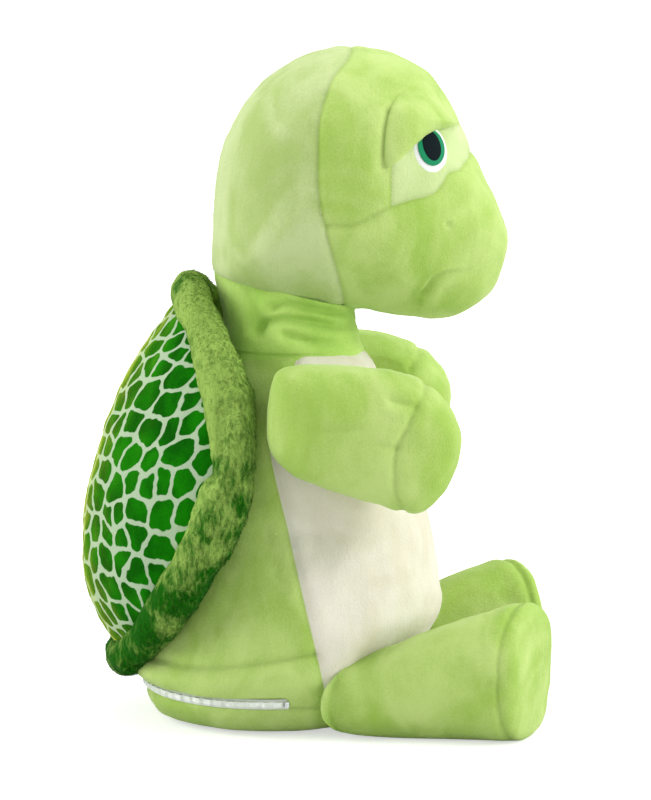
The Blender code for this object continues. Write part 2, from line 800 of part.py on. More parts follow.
def build_eye(head_room, side, name):
    """The eye's three layers under its stuffed lid, on one side of the head."""
    place, normal = head_surface(*EYE_PLACE, side)
    white_room, iris_room, pupil_room = (
        ellipsoid("room", place, normal, [value + GAP / MM for value in size])
        for size in (EYE_WHITE_SIZE, IRIS_SIZE, PUPIL_SIZE))
    white = cut(ellipsoid("eye_white_" + name, place, normal, EYE_WHITE_SIZE), head_room, iris_room)
    iris = cut(ellipsoid("iris_" + name, place, normal, IRIS_SIZE), head_room, pupil_room)
    pupil = cut(ellipsoid("pupil_" + name, place, normal, PUPIL_SIZE), head_room)

    lid_place, lid_normal = head_surface(*LID_PLACE, side)
    slope = math.radians(LID_EDGE_SLOPE)
    edge_normal = Vector((0, math.sin(slope), -math.cos(slope)))
    under = half_space("under_lid", at_head(0, *LID_EDGE), edge_normal)
    lid = ellipsoid("eyelid_" + name, lid_place, lid_normal, LID_SIZE, 18, 10)
    cut(lid, under, head_room, white_room, iris_room, pupil_room)
    keep_largest(lid)
    drop(white_room, iris_room, pupil_room, under)
    return white, iris, pupil, lid


def build_lip(head_room):
    """The stuffed fold under the mouth."""
    lip = ellipsoid("lower_lip", at_head(0, *LIP_PLACE), Vector((0, -1, 0)), LIP_SIZE, 18, 8)
    cut(lip, head_room)
    keep_largest(lip)
    return lip


def build_arm(side, name):
    """An arm's skin, the round cap at its hand, and its filling, flat against the torso."""
    arm = form("arm", ARM_SEGMENTS, ARM_RINGS, arm_place(side))
    inward = half_space("inward", (side * (ARM_PLANE + GAP), 0, 0), (-side, 0, 0))
    tilt = math.radians(HAND_SEAM_TILT)
    ahead = Vector((0, -math.cos(tilt), math.sin(tilt)))
    seam = at(0, *HAND_SEAM)
    hand = half_space("hand_side", seam - ahead * (SEAM / 2), ahead)
    wrist = half_space("wrist_side", seam + ahead * (SEAM / 2), -ahead)
    cloth = cut(shell_of(arm, "cloth"), inward)
    skin = cut(copy_of(cloth, "arm_skin_" + name), hand)
    cap = cut(copy_of(cloth, "hand_cap_" + name), wrist)
    filling = cut(filling_of(arm, "arm_filling_" + name), inward)
    drop(arm, inward, hand, wrist, cloth)
    return skin, cap, filling


def build_leg(side, name):
    """A leg's skin, its upright sole, and its filling, seated on the hip's flat spot."""
    leg = form("leg", LEG_SEGMENTS, LEG_RINGS, leg_place(side))
    inward = hip_side_of_leg(side)
    turn = math.radians(SOLE_TURN)
    ahead = Vector((side * math.sin(turn), -math.cos(turn), 0))
    splay = math.radians(LEG_SPLAY)
    start = at(side * LEG_START[0], LEG_START[1], 0)
    seam = start + Vector((side * math.sin(splay), -math.cos(splay), 0)) * SOLE_SEAM
    foot = half_space("foot_side", seam - ahead * (SEAM / 2), ahead)
    ankle = half_space("ankle_side", seam + ahead * (SEAM / 2), -ahead)
    cloth = cut(shell_of(leg, "cloth"), inward)
    keep_largest(cloth)
    skin = cut(copy_of(cloth, "leg_skin_" + name), foot)
    sole = cut(copy_of(cloth, "foot_sole_" + name), ankle)
    filling = cut(filling_of(leg, "leg_filling_" + name), inward)
    keep_largest(filling)
    drop(leg, inward, foot, ankle, cloth)
    return skin, sole, filling


def zip_place(radius, angle, up):
    """A place round the zip's centre: 0 is the turtle's back, positive towards its left."""
    turn = math.radians(90 - angle)
    return Vector((radius * math.cos(turn), radius * math.sin(turn) - ZIP_CENTRE_FORWARD, up))


def tape_outer_radius():
    return ZIP_RADIUS - TAPE_INSET


def build_zip():
    """The tape, its chain of teeth, the two stops, and the slider with its pull."""
    low = BASE_SEAM_UP + GAP
    high = BASE_SEAM_UP + ZIP_SLOT_HEIGHT - GAP
    tape_outer = tape_outer_radius()
    tape_half_angle = ZIP_HALF_ANGLE - ZIP_END_PLAY
    tape = arc_band(
        "zip_tape", ZIP_CENTRE_FORWARD, tape_outer - TAPE_THICKNESS, tape_outer, low, high,
        tape_half_angle, TAPE_STEPS)

    chain_inner = tape_outer + GAP
    chain_outer = chain_inner + TOOTH_DEPTH
    stop_angle = math.degrees(STOP_LENGTH / chain_inner)
    chain_half_angle = tape_half_angle - stop_angle - ZIP_STOP_PLAY
    pitch = 2 * chain_half_angle / TOOTH_COUNT
    outline = []
    for k in range(TOOTH_COUNT):
        start = -chain_half_angle + k * pitch
        for share, radius in (
                (0, chain_inner + TOOTH_BASE), (TOOTH_STARTS, chain_outer), (TOOTH_ENDS, chain_outer),
                (TOOTH_FOOT, chain_inner + TOOTH_BASE)):
            outline.append((radius, start + share * pitch))
    for k in range(TOOTH_COUNT + 1):
        outline.append((chain_inner, chain_half_angle - 2 * chain_half_angle * k / TOOTH_COUNT))
    places = [zip_place(radius, angle, 0) for radius, angle in outline]
    points = [(place.x, place.y + ZIP_CENTRE_FORWARD) for place in places]
    chain = extruded(
        bmesh.new(), "zip_teeth", points, ZIP_CENTRE_FORWARD, ZIP_UP - TOOTH_HEIGHT / 2,
        ZIP_UP + TOOTH_HEIGHT / 2)

    pieces = [tape, chain]
    for side, name in ((-1, "right"), (1, "left")):
        stop = block_on_zip(
            "zip_stop_" + name, chain_inner, chain_outer, -STOP_LENGTH / 2, STOP_LENGTH / 2,
            ZIP_UP - TOOTH_HEIGHT / 2, ZIP_UP + TOOTH_HEIGHT / 2)
        turn_on_zip(stop, side * (tape_half_angle - stop_angle / 2))
        pieces.append(stop)

    slider, pull = build_slider(chain_inner, chain_outer)
    park = slider_park_angle()
    turn_on_zip(slider, park)
    turn_on_zip(pull, park)
    return pieces, slider, pull


def slider_park_angle():
    """The slider rests beside the stop on the turtle's left."""
    half = math.degrees((SLIDER_LENGTH / 2 + STOP_LENGTH + SLIDER_PLAY) / ZIP_RADIUS)
    return ZIP_HALF_ANGLE - ZIP_END_PLAY - half - ZIP_STOP_PLAY


def block_on_zip(name, inner, outer, back, ahead, low, high):
    """A block at the zip's rearmost place: radii, then along the chain, then heights."""
    centre = -ZIP_CENTRE_FORWARD
    return box(name, (back, centre + inner, low), (ahead, centre + outer, high))


def turn_on_zip(obj, angle):
    """Moves a piece along the zip's arc from its rearmost place."""
    centre = Vector((0, -ZIP_CENTRE_FORWARD, 0))
    turn = Matrix.Translation(centre) @ Matrix.Rotation(math.radians(-angle), 4, "Z")
    obj.data.transform(turn @ Matrix.Translation(-centre))


def build_slider(chain_inner, chain_outer):
    """The slider, its flanges and bridge in one, and the pull whose ring hangs in the bridge."""
    plate_inner = chain_outer + SLIDER_PLAY
    plate_outer = plate_inner + SLIDER_PLATE
    half_height = SLIDER_HEIGHT / 2
    flange = TOOTH_HEIGHT / 2 + SLIDER_PLAY
    half = SLIDER_LENGTH / 2
    slider = block_on_zip(
        "zip_slider", plate_inner, plate_outer, -half, half, ZIP_UP - half_height, ZIP_UP + half_height)
    extra = []
    for sign in (-1, 1):
        low, high = sorted((ZIP_UP + sign * flange, ZIP_UP + sign * half_height))
        extra.append(block_on_zip(
            "flange", chain_inner + SLIDER_PLAY, plate_inner + SHAVE, -half, half, low, high))
        back, ahead = sorted((sign * BRIDGE_LENGTH / 2, sign * (BRIDGE_LENGTH / 2 - BRIDGE_BAR)))
        extra.append(block_on_zip(
            "bridge_leg", plate_outer - SHAVE, plate_outer + BRIDGE_OPENING + BRIDGE_BAR, back, ahead,
            ZIP_UP - BRIDGE_WIDTH / 2, ZIP_UP + BRIDGE_WIDTH / 2))
    extra.append(block_on_zip(
        "bridge_bar", plate_outer + BRIDGE_OPENING, plate_outer + BRIDGE_OPENING + BRIDGE_BAR,
        -BRIDGE_LENGTH / 2, BRIDGE_LENGTH / 2, ZIP_UP - BRIDGE_WIDTH / 2, ZIP_UP + BRIDGE_WIDTH / 2))
    join(slider, *extra)
    drop(*extra)

    pin_radius = plate_outer + BRIDGE_OPENING / 2
    half_pin = PULL_PIN / 2
    half_ring = PULL_RING_HEIGHT / 2
    ring_end = -PULL_RING_LENGTH
    pull = block_on_zip(
        "zip_pull", pin_radius - half_pin, pin_radius + half_pin, ring_end - PULL_TAB_LENGTH, half_pin,
        ZIP_UP - half_ring, ZIP_UP + half_ring)
    hole = block_on_zip(
        "pull_hole", pin_radius - PULL_PIN, pin_radius + PULL_PIN, ring_end, -half_pin,
        ZIP_UP - half_ring + PULL_BAR, ZIP_UP + half_ring - PULL_BAR)
    cut(pull, hole)
    drop(hole)
    return slider, pull


def pull_pin_place():
    """The middle of the slider's bridge, where the pull hangs."""
    chain_outer = tape_outer_radius() + GAP + TOOTH_DEPTH
    pin_radius = chain_outer + SLIDER_PLAY + SLIDER_PLATE + BRIDGE_OPENING / 2
    return zip_place(pin_radius, slider_park_angle(), ZIP_UP)


# Looks of the parts in the viewport

def material(name, colour, roughness=0.9, metallic=0.0):
    found = bpy.data.materials.new(name)
    found.use_nodes = True
    shader = found.node_tree.nodes["Principled BSDF"]
    shader.inputs["Base Color"].default_value = (*colour, 1)
    shader.inputs["Roughness"].default_value = roughness
    shader.inputs["Metallic"].default_value = metallic
    found.diffuse_color = (*colour, 1)
    return found


def finish(parent, colour, objects, roughness=0.9, metallic=0.0, smooth=True):
    """Gives each object its own material and smooth shading, and hangs it on its joint."""
    for obj in objects:
        obj.data.materials.clear()
        obj.data.materials.append(material(obj.name, colour, roughness, metallic))
        if smooth:
            obj.data.shade_smooth()
            obj.data.set_sharp_from_angle(angle=math.radians(38))
        obj.parent = parent
        obj.matrix_parent_inverse = parent.matrix_world.inverted()


def empty(name, place, axis=(0, 0, 1), parent=None):
    """An empty on a joint's axis, which carries what moves on it."""
    obj = bpy.data.objects.new(name, None)
    obj.empty_display_size = 0.03
    PARTS.objects.link(obj)
    turn = Vector(axis).to_track_quat("Z", "Y").to_matrix().to_4x4()
    obj.matrix_world = Matrix.Translation(place) @ turn
    if parent:
        obj.parent = parent
        obj.matrix_parent_inverse = parent.matrix_world.inverted()
    bpy.context.view_layer.update()
    return obj


def main():
    torso = form("torso_form", TORSO_SEGMENTS, TORSO_RINGS, torso_place)
    neck = form("neck_form", NECK_SEGMENTS, NECK_RINGS, neck_place)
    head = form("head_form", HEAD_SEGMENTS, HEAD_RINGS, head_place)

    root = empty("turtle", (0, 0, 0))
    skin, belly, base, pod = build_torso(torso, neck)
    cover, shell_filling, rim = build_shell(torso, neck)
    finish(root, PLUSH_LIME, [skin, base])
    finish(root, PLUSH_CREAM, [belly])
    finish(root, FIBRE_WHITE, [pod, shell_filling])
    finish(root, PRINT_GREEN, [cover])
    finish(root, PILE_OLIVE, [rim])

    nod = empty("neck_nod", (0, -BALL_FORWARD, BALL_UP), (1, 0, 0), root)
    neck_skin, neck_filling = build_neck(neck)
    finish(nod, PLUSH_GREEN, [neck_skin])
    finish(nod, FIBRE_WHITE, [neck_filling])

    turn_point, turn_axis = turn_plane()
    turn = empty("head_turn", turn_point, turn_axis, nod)
    back, face, muzzle, patches, head_pod = build_head(head)
    head_room = grown(head, "head_room", GAP)
    finish(turn, PLUSH_LIME, [back, face, muzzle, build_lip(head_room)])
    finish(turn, PLUSH_PALE, patches)
    finish(turn, FIBRE_WHITE, [head_pod])
    for side, name in ((-1, "right"), (1, "left")):
        white, iris, pupil, lid = build_eye(head_room, side, name)
        finish(turn, EYE_WHITE, [white], 0.3)
        finish(turn, EYE_GREEN, [iris], 0.2)
        finish(turn, EYE_BLACK, [pupil], 0.1)
        finish(turn, PLUSH_LIME, [lid])

        shoulder_place = Vector((side * ARM_PLANE, -SHOULDER_FORWARD, SHOULDER_UP))
        shoulder = empty("shoulder_" + name, shoulder_place, (1, 0, 0), root)
        arm_skin, cap, arm_filling = build_arm(side, name)
        finish(shoulder, PLUSH_LIME, [arm_skin, cap])
        finish(shoulder, FIBRE_WHITE, [arm_filling])

        hip_place, hip_axis = hip_frame(side)
        hip = empty("hip_" + name, hip_place, hip_axis, root)
        leg_skin, sole, leg_filling = build_leg(side, name)
        finish(hip, PLUSH_LIME, [leg_skin, sole])
        finish(hip, FIBRE_WHITE, [leg_filling])

    pieces, slider, pull = build_zip()
    finish(root, TAPE_WHITE, pieces[:1], 0.8)
    finish(root, NYLON, pieces[1:], 0.4, smooth=False)
    track = empty("zip_track", (0, -ZIP_CENTRE_FORWARD, ZIP_UP), (0, 0, 1), root)
    finish(track, METAL, [slider], 0.35, 0.9, smooth=False)
    pin = empty("zip_pull_pin", pull_pin_place(), (0, 0, 1), track)
    finish(pin, METAL, [pull], 0.35, 0.9, smooth=False)

    drop(torso, neck, head, head_room)


for old in list(bpy.data.objects):
    bpy.data.objects.remove(old)
PARTS = new_collection("plush_turtle")
main()
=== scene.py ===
import math

import bmesh
import bpy
import numpy as np
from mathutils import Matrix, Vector, noise


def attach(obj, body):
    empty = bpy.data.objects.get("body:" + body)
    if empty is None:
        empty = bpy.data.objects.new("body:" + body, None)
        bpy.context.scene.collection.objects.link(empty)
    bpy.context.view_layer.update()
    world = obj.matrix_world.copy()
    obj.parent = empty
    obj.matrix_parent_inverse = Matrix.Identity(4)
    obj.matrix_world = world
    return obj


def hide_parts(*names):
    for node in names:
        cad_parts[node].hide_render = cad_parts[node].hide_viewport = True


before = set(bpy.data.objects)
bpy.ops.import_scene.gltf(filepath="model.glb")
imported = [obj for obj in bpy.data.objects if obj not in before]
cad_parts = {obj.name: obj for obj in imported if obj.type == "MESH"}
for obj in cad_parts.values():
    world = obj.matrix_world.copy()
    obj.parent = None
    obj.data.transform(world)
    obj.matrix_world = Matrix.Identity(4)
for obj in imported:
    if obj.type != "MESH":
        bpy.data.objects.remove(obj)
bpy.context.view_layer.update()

# The looks of a seated plush turtle. It faces -Y. Tables give places as forward (-Y) and up (+Z) in
# millimetres: the neck's from the centre of its ball, the head's heights from HEAD_UP, the others
# from the ground. The forms and the rules that read them are those of the turtle's solids; the
# seams, the eyelids and the small folds are placed here, as the photograph shows them.
MM = 0.001

# Torso: up, half width, front, back, fullness of the front corners
TORSO_ROWS = [
    (-0.6, 0, -28, -28, 2.0),
    (-0.5, 30, 2, -58, 2.0),
    (0.1, 50, 22, -78, 2.1),
    (4, 63, 35, -94, 2.6),
    (12, 71, 43, -101, 3.0),
    (21.5, 75, 47, -103, 2.6),
    (32, 78, 54, -114, 2.2),
    (46, 76, 64, -109, 2.0),
    (66, 76, 75, -99, 2.0),
    (92, 72, 74, -92, 2.0),
    (122, 66, 68, -82, 2.0),
    (152, 60, 60, -72, 2.1),
    (180, 59, 49, -65, 2.2),
    (199, 58, 40, -62, 2.1),
    (213, 50, 35, -60, 2.0),
    (224, 38, 24, -50, 2.0),
    (230, 20, 6, -34, 2.0),
    (231, 0, -14, -14, 2.0),
]
BASE_SEAM_UP = 18.5 * MM

# Belly panel seen from the side: forward and up
BELLY_OUTLINE = [
    (-10, 240), (-10, 224), (-17, 207), (-25, 187), (-26.3, 167), (-14.7, 117), (-3.1, 69),
    (5.7, 30), (8, 10), (120, 10), (120, 240),
]

# Neck: the ball that nods in the torso's collar, and the tube above it: up, half width, front, back
BALL_FORWARD = -14 * MM
BALL_UP = 208 * MM
BALL_RADIUS = 45 * MM
BALL_TOP_CLIMB = 18
BALL_ROWS = 7
NECK_ROWS = [
    (18, 43.5, 41.2, -43),
    (32, 40, 38, -41),
    (48, 41, 38, -43),
    (64, 42, 36, -45),
    (78, 34, 28, -38),
    (82, 0, -4, -4),
]

# Plane between neck and head, which the head turns on
TURN_FORWARD = -20 * MM
TURN_RISE = 50.5 * MM
TURN_UP = BALL_UP + TURN_RISE
TURN_TILT = 15.3

# Head seen from the side: forward and up, from the chin round the face and over the top
HEAD_RISE = 32 * MM
HEAD_UP = BALL_UP + HEAD_RISE
HEAD_OUTLINE = [
    (24, 6), (39, 4), (57, 1.5), (75, 0.6), (90, 5), (104, 16), (111, 31), (114, 46),
    (112, 58), (106, 74), (99, 88), (90, 104), (84, 119), (75, 134), (66, 146), (51, 155),
    (33, 159.4), (12, 160), (-9, 154), (-30, 140), (-45, 122), (-56, 97), (-60, 67), (-61, 40),
    (-58, 22), (-40, 10), (-10, 6),
]
HEAD_CENTRE = (15, 78)
CRANIUM_HALF_WIDTH = 76 * MM
MUZZLE_HALF_WIDTH = 58 * MM
NARROWS_FROM = 10
NARROWS_TO = 105
JAW_NARROWING = 0.2
JAW_TOP = 60
JAW_BOTTOM = 0
HEAD_FULLNESS = 2.4

# Head seams seen from the side: forward and up
FRONT_REGION = [
    (24, 180), (21, 159.7), (9.2, 143.7), (2.9, 124.6), (1.7, 104.5), (2.9, 75.6), (9.2, 48),
    (15, 23), (17, 8), (18, -20), (150, -20), (150, 180),
]
MUZZLE_REGION = [
    (-20, 58), (6.3, 62.4), (20.6, 62.3), (31, 66.8), (43.5, 72.7), (56.3, 76.2), (63.3, 77.5),
    (69.8, 80), (74, 84.8), (77.5, 90), (85, 92), (91, 97.5), (98, 101), (150, 103), (150, -40),
    (-20, -40),
]
PATCH_REGION = [
    (44, 60), (44, 97), (52.6, 104.5), (62.8, 112), (74.2, 115.8), (84, 116), (110, 116), (110, 60),
]

# Arm seen from the side: forward and up
ARM_OUTLINE = [
    (-27, 180), (-27.5, 192), (-26.5, 206), (-22, 214.5), (-9, 218), (15, 219), (43, 219), (63, 212),
    (78, 197), (84, 178), (80, 157), (70, 140), (56, 133.5), (38, 138), (10, 149), (-12, 159),
    (-23, 170),
]
ARM_CENTRE = (25, 180)
ARM_MIDDLE = 81.5 * MM
ARM_HALF_WIDTH = 25 * MM
ARM_INWARD = 34 * MM
ARM_SQUARENESS = 0.85
ARM_PLANE = 57 * MM
ARM_PIT_UP = 120 * MM
ARM_PIT_SLOPE = 0.5
ARM_PIT_SOFTNESS = 4 * MM

# Leg along its own axis: distance, half width, top, bottom
LEG_ROWS = [
    (-22, 0, 25, 25),
    (-19, 12, 33, 14),
    (-6, 19, 38, 7),
    (9, 22, 42, 3),
    (25, 23, 48, 0.4),
    (45, 25, 57, -0.5),
    (70, 28, 67, -0.5),
    (94, 31, 75, -0.5),
    (111, 33, 79.5, -0.5),
    (119, 31.5, 79, 0.6),
    (123, 26, 72, 8),
    (125, 14, 57, 24),
    (125.5, 0, 40, 40),
]
LEG_START = (57, 6)
LEG_SPLAY = 5.5
LEG_SQUARENESS = 0.92
SOLE_TURN = 24
SOLE_TURN_FROM = 40
SOLE_TURN_TO = 112
SOLE_SEAM = 114 * MM
HIP_SIDE = 60 * MM
HIP_FORWARD = 26 * MM
HIP_UP = 24 * MM
HIP_TURN = 48.7
HIP_RADIUS = 20 * MM
HIP_FLARE = 0.45

# Shell dome: up, half width, line of the rim, back, depth ahead of the rim
DOME_ROWS = [
    (40, 0, -108, -108, 0),
    (44, 26, -106, -117, 12),
    (56, 47, -98, -127, 14),
    (75, 62, -86, -135.5, 13),
    (100, 74, -71, -139.6, 12),
    (130, 79, -56, -137.5, 12),
    (160, 78.5, -47, -131.5, 12),
    (185, 72, -45, -123, 12),
    (210, 60, -51, -110.5, 10),
    (235, 42, -62, -94, 7),
    (250, 24, -71, -82, 4),
    (255, 0, -74, -74, 0),
]

# Stuffed rim, one side from the top to the bottom: side, forward, up, radius
RIM_POINTS = [
    (0, -74, 257, 12.5),
    (28, -71, 250, 13),
    (52, -59, 226, 14.5),
    (68, -49, 197, 15.5),
    (78, -48, 165, 16),
    (81, -59, 125, 16),
    (72, -79, 90, 15),
    (50, -98, 58, 14),
    (26, -111, 41, 12.5),
    (0, -116, 37, 12.5),
]


def at(side, forward, up):
    """A place in metres from sizes in millimetres."""
    return Vector((side, -forward, up)) * MM


def at_head(side, forward, up):
    """A place in metres from sizes in millimetres, with the height taken from HEAD_UP."""
    return at(side, forward, up) + Vector((0, 0, HEAD_UP))


def read_rows(rows, along):
    """The rows' values at a place from 0 to the last row, on a smooth curve through them."""
    last = len(rows) - 1
    step = min(int(along), last - 1)
    part = along - step
    before, start, end, after = (rows[min(max(step + k, 0), last)] for k in (-1, 0, 1, 2))
    values = []
    for a, b, c, d in zip(before, start, end, after):
        slope_in = (c - a) / 2
        slope_out = (d - b) / 2
        bend = 2 * b - 2 * c + slope_in + slope_out
        turn = 3 * c - 3 * b - 2 * slope_in - slope_out
        values.append(((bend * part + turn) * part + slope_in) * part + b)
    return values


def rounded(value, power):
    """A value from -1 to 1, pushed out towards a squarer section."""
    return math.copysign(abs(value) ** power, value)


def smooth_step(low, high, value):
    """0 at the low value and 1 at the high one, with a soft start and end."""
    share = min(max((value - low) / (high - low), 0), 1)
    return share * share * (3 - 2 * share)


def lesser(first, second, softness):
    """The smaller of two values, eased where they are about the same."""
    ease = max(0, softness - abs(first - second)) / softness
    return min(first, second) - softness * ease * ease / 4


def torso_place(u):
    """The torso's surface: oval rows, pressed flat where the arms and legs sit."""
    along = (1 - math.acos(max(-1, min(1, u.z))) / math.pi) * (len(TORSO_ROWS) - 1)
    up, half_width, front, back, fullness = read_rows(TORSO_ROWS, along)
    turn = math.atan2(-u.y, u.x)
    power = 2 / fullness if math.sin(turn) > 0 else 1
    side = half_width * rounded(math.cos(turn), power)
    forward = (front + back) / 2 + (front - back) / 2 * rounded(math.sin(turn), power)
    place = press_at_hip(at(side, forward, max(up, 0)))
    room = ARM_PLANE + ARM_PIT_SLOPE * max(0, ARM_PIT_UP - place.z)
    place.x = math.copysign(lesser(abs(place.x), room, ARM_PIT_SOFTNESS), place.x)
    return place


def neck_rows():
    """The ball's rows, from its lowest point, then the tube's."""
    rows = []
    for k in range(BALL_ROWS):
        angle = math.radians(-90 + (90 + BALL_TOP_CLIMB) * k / (BALL_ROWS - 1))
        radius = BALL_RADIUS / MM * math.cos(angle)
        rows.append((BALL_RADIUS / MM * math.sin(angle), radius, radius, -radius))
    return rows + NECK_ROWS


def neck_place(u):
    """The neck's surface, ball and tube in one."""
    rows = neck_rows()
    along = (1 - math.acos(max(-1, min(1, u.z))) / math.pi) * (len(rows) - 1)
    up, half_width, front, back = read_rows(rows, along)
    turn = math.atan2(-u.y, u.x)
    forward = (front + back) / 2 + (front - back) / 2 * math.sin(turn)
    return at(half_width * math.cos(turn), forward, up) + Vector((0, -BALL_FORWARD, BALL_UP))


def outline_reader(outline, centre):
    """How far an outline lies from its centre, at any angle."""
    count = len(outline)
    closed = [outline[-1]] + list(outline) + [outline[0], outline[1]]
    places = []
    for k in range(count * 8):
        step = k // 8
        places.append(read_rows(closed[step:step + 4], 1 + (k % 8) / 8))
    spokes = [(f - centre[0], up - centre[1]) for f, up in places]
    angles = [math.atan2(up, f) for f, up in spokes]
    reach = [math.hypot(f, up) for f, up in spokes]
    steps = 720
    turns = np.linspace(-math.pi, math.pi, steps + 1)
    table = np.interp(turns, angles, reach, period=math.tau).tolist()

    def read(angle):
        along = (angle + math.pi) / math.tau * steps
        step = min(int(along), steps - 1)
        return table[step] + (table[step + 1] - table[step]) * (along - step)

    return read


HEAD_REACH = outline_reader(HEAD_OUTLINE, HEAD_CENTRE)
ARM_REACH = outline_reader(ARM_OUTLINE, ARM_CENTRE)


def head_half_width(forward, up):
    """Half the head's width at a place in its side view."""
    toward_nose = smooth_step(NARROWS_FROM, NARROWS_TO, forward)
    width = CRANIUM_HALF_WIDTH + (MUZZLE_HALF_WIDTH - CRANIUM_HALF_WIDTH) * toward_nose
    return width * (1 - JAW_NARROWING * smooth_step(JAW_TOP, JAW_BOTTOM, up))


def head_place(u):
    """The head's surface: its side outline, full across, on a ball's point."""
    angle = math.atan2(u.x, -u.y)
    power = 2 / HEAD_FULLNESS
    reach = HEAD_REACH(angle) * math.sqrt(max(0, 1 - u.z * u.z)) ** power
    forward = HEAD_CENTRE[0] + reach * math.cos(angle)
    up = HEAD_CENTRE[1] + reach * math.sin(angle)
    across = head_half_width(forward, up) * rounded(u.z, power) / MM
    return at_head(across, forward, up)


def head_surface(forward, up, side):
    """The place on the head's side that the side view shows at a point, and its outward normal."""
    def surface(f, z):
        spoke = (f - HEAD_CENTRE[0], z - HEAD_CENTRE[1])
        share = math.hypot(*spoke) / HEAD_REACH(math.atan2(spoke[1], spoke[0]))
        width = head_half_width(f, z) * max(0, 1 - share ** HEAD_FULLNESS) ** (1 / HEAD_FULLNESS)
        return at_head(side * width / MM, f, z)

    place = surface(forward, up)
    ahead = surface(forward + 1, up) - surface(forward - 1, up)
    above = surface(forward, up + 1) - surface(forward, up - 1)
    normal = ahead.cross(above).normalized()
    return place, normal if normal.x * side > 0 else -normal


def arm_place(side):
    """The rule for an arm's surface: its side outline, fuller towards the torso."""
    def place(u):
        angle = math.atan2(u.x, -u.y)
        reach = ARM_REACH(angle) * math.sqrt(max(0, 1 - u.z * u.z))
        forward = ARM_CENTRE[0] + reach * math.cos(angle)
        up = ARM_CENTRE[1] + reach * math.sin(angle)
        half_width = ARM_HALF_WIDTH if u.z > 0 else ARM_INWARD
        across = ARM_MIDDLE + half_width * rounded(u.z, ARM_SQUARENESS)
        return Vector((side * across, -forward * MM, up * MM))
    return place


def leg_place(side):
    """The rule for a leg's surface: oval rows along its axis, turned out towards the sole."""
    splay = math.radians(LEG_SPLAY)
    axis = Vector((math.sin(splay), -math.cos(splay), 0))
    across = Vector((math.cos(splay), math.sin(splay), 0))
    start = at(LEG_START[0], LEG_START[1], 0)
    skew = math.tan(math.radians(SOLE_TURN - LEG_SPLAY))

    def place(u):
        along = (1 - math.acos(max(-1, min(1, u.z))) / math.pi) * (len(LEG_ROWS) - 1)
        distance, half_width, top, bottom = read_rows(LEG_ROWS, along)
        turn = math.atan2(u.y, u.x)
        lateral = half_width * rounded(math.cos(turn), LEG_SQUARENESS)
        up = (top + bottom) / 2 + (top - bottom) / 2 * rounded(math.sin(turn), LEG_SQUARENESS)
        distance -= lateral * skew * smooth_step(SOLE_TURN_FROM, SOLE_TURN_TO, distance)
        spot = start + (axis * distance + across * lateral) * MM
        return Vector((side * spot.x, spot.y, max(up, 0) * MM))
    return place


def dome_place(u):
    """The shell's surface: rows that bulge back from the line of the rim."""
    along = (1 - math.acos(max(-1, min(1, u.z))) / math.pi) * (len(DOME_ROWS) - 1)
    up, half_width, line, back, inward = read_rows(DOME_ROWS, along)
    turn = math.atan2(-u.y, u.x)
    depth = inward if math.sin(turn) > 0 else line - back
    return at(half_width * math.cos(turn), line + depth * math.sin(turn), up)


def turn_plane():
    """A point on the plane between neck and head, and its normal."""
    tilt = math.radians(TURN_TILT)
    return Vector((0, -TURN_FORWARD, TURN_UP)), Vector((0, -math.sin(tilt), math.cos(tilt)))


def hip_frame(side):
    """The middle of a hip's flat spot, and the axis out of it that the leg turns on."""
    turn = math.radians(HIP_TURN)
    place = Vector((side * HIP_SIDE, -HIP_FORWARD, HIP_UP))
    return place, Vector((side * math.sin(turn), -math.cos(turn), 0))


def hip_rise(radius):
    """How far a hip's flat spot flares out round the leg, so that the leg can turn."""
    return HIP_FLARE * max(0, radius - HIP_RADIUS)


def press_at_hip(place):
    """Moves a point of the torso in to the flat spot that the leg on its side turns on."""
    side = -1 if place.x < 0 else 1
    centre, axis = hip_frame(side)
    spoke = place - centre
    distance = spoke.dot(axis)
    radius = (spoke - axis * distance).length
    return place - axis * max(0, distance - hip_rise(radius))


# Shaping of soft forms

FINE_CUTS = 4


def fine_ball(segments, rings):
    """A ball of many faces, cut finer from one of few."""
    parts = FINE_CUTS + 1
    bm = bmesh.new()
    bmesh.ops.create_uvsphere(bm, u_segments=segments // parts, v_segments=rings // parts, radius=1)
    bmesh.ops.subdivide_edges(bm, edges=bm.edges, cuts=FINE_CUTS, use_grid_fill=True)
    return bm


def turn_outward(bm):
    """Turns all faces of a closed form outward."""
    bm.normal_update()
    bmesh.ops.recalc_face_normals(bm, faces=bm.faces)
    if bm.calc_volume(signed=True) < 0:
        bmesh.ops.reverse_faces(bm, faces=bm.faces)
    bm.normal_update()


def soft_form(segments, rings, place):
    """A closed form on a ball's points, each moved by a rule."""
    bm = fine_ball(segments, rings)
    for vertex in bm.verts:
        vertex.co = place(vertex.co.normalized())
    turn_outward(bm)
    return bm


def points_of(bm):
    """Side, forward and up of each vertex in millimetres."""
    return np.array([(v.co.x, -v.co.y, v.co.z) for v in bm.verts]) / MM


def move_out(bm, moves):
    """Moves each vertex along its normal by its own number of millimetres."""
    bm.normal_update()
    steps = [vertex.normal * float(move) * MM for vertex, move in zip(bm.verts, moves)]
    for vertex, step in zip(bm.verts, steps):
        vertex.co += step


def paint(bm, name, values):
    """Keeps one number a vertex for the materials to read."""
    layer = bm.verts.layers.float.get(name) or bm.verts.layers.float.new(name)
    for vertex, value in zip(bm.verts, values):
        vertex[layer] = float(value)


def lumps(bm, size, seed):
    """Soft noise from about -1 to 1 at each vertex, with swells of a size in millimetres."""
    shift = Vector((seed, 2 * seed, 3 * seed))
    return np.array([noise.fractal(v.co / (size * MM) + shift, 0.5, 2.0, 3) for v in bm.verts])


def smooth_line(corners, steps=8):
    """Points on a smooth curve through corners."""
    line = []
    for k in range((len(corners) - 1) * steps + 1):
        line.append(read_rows(corners, k / steps))
    return np.array(line)


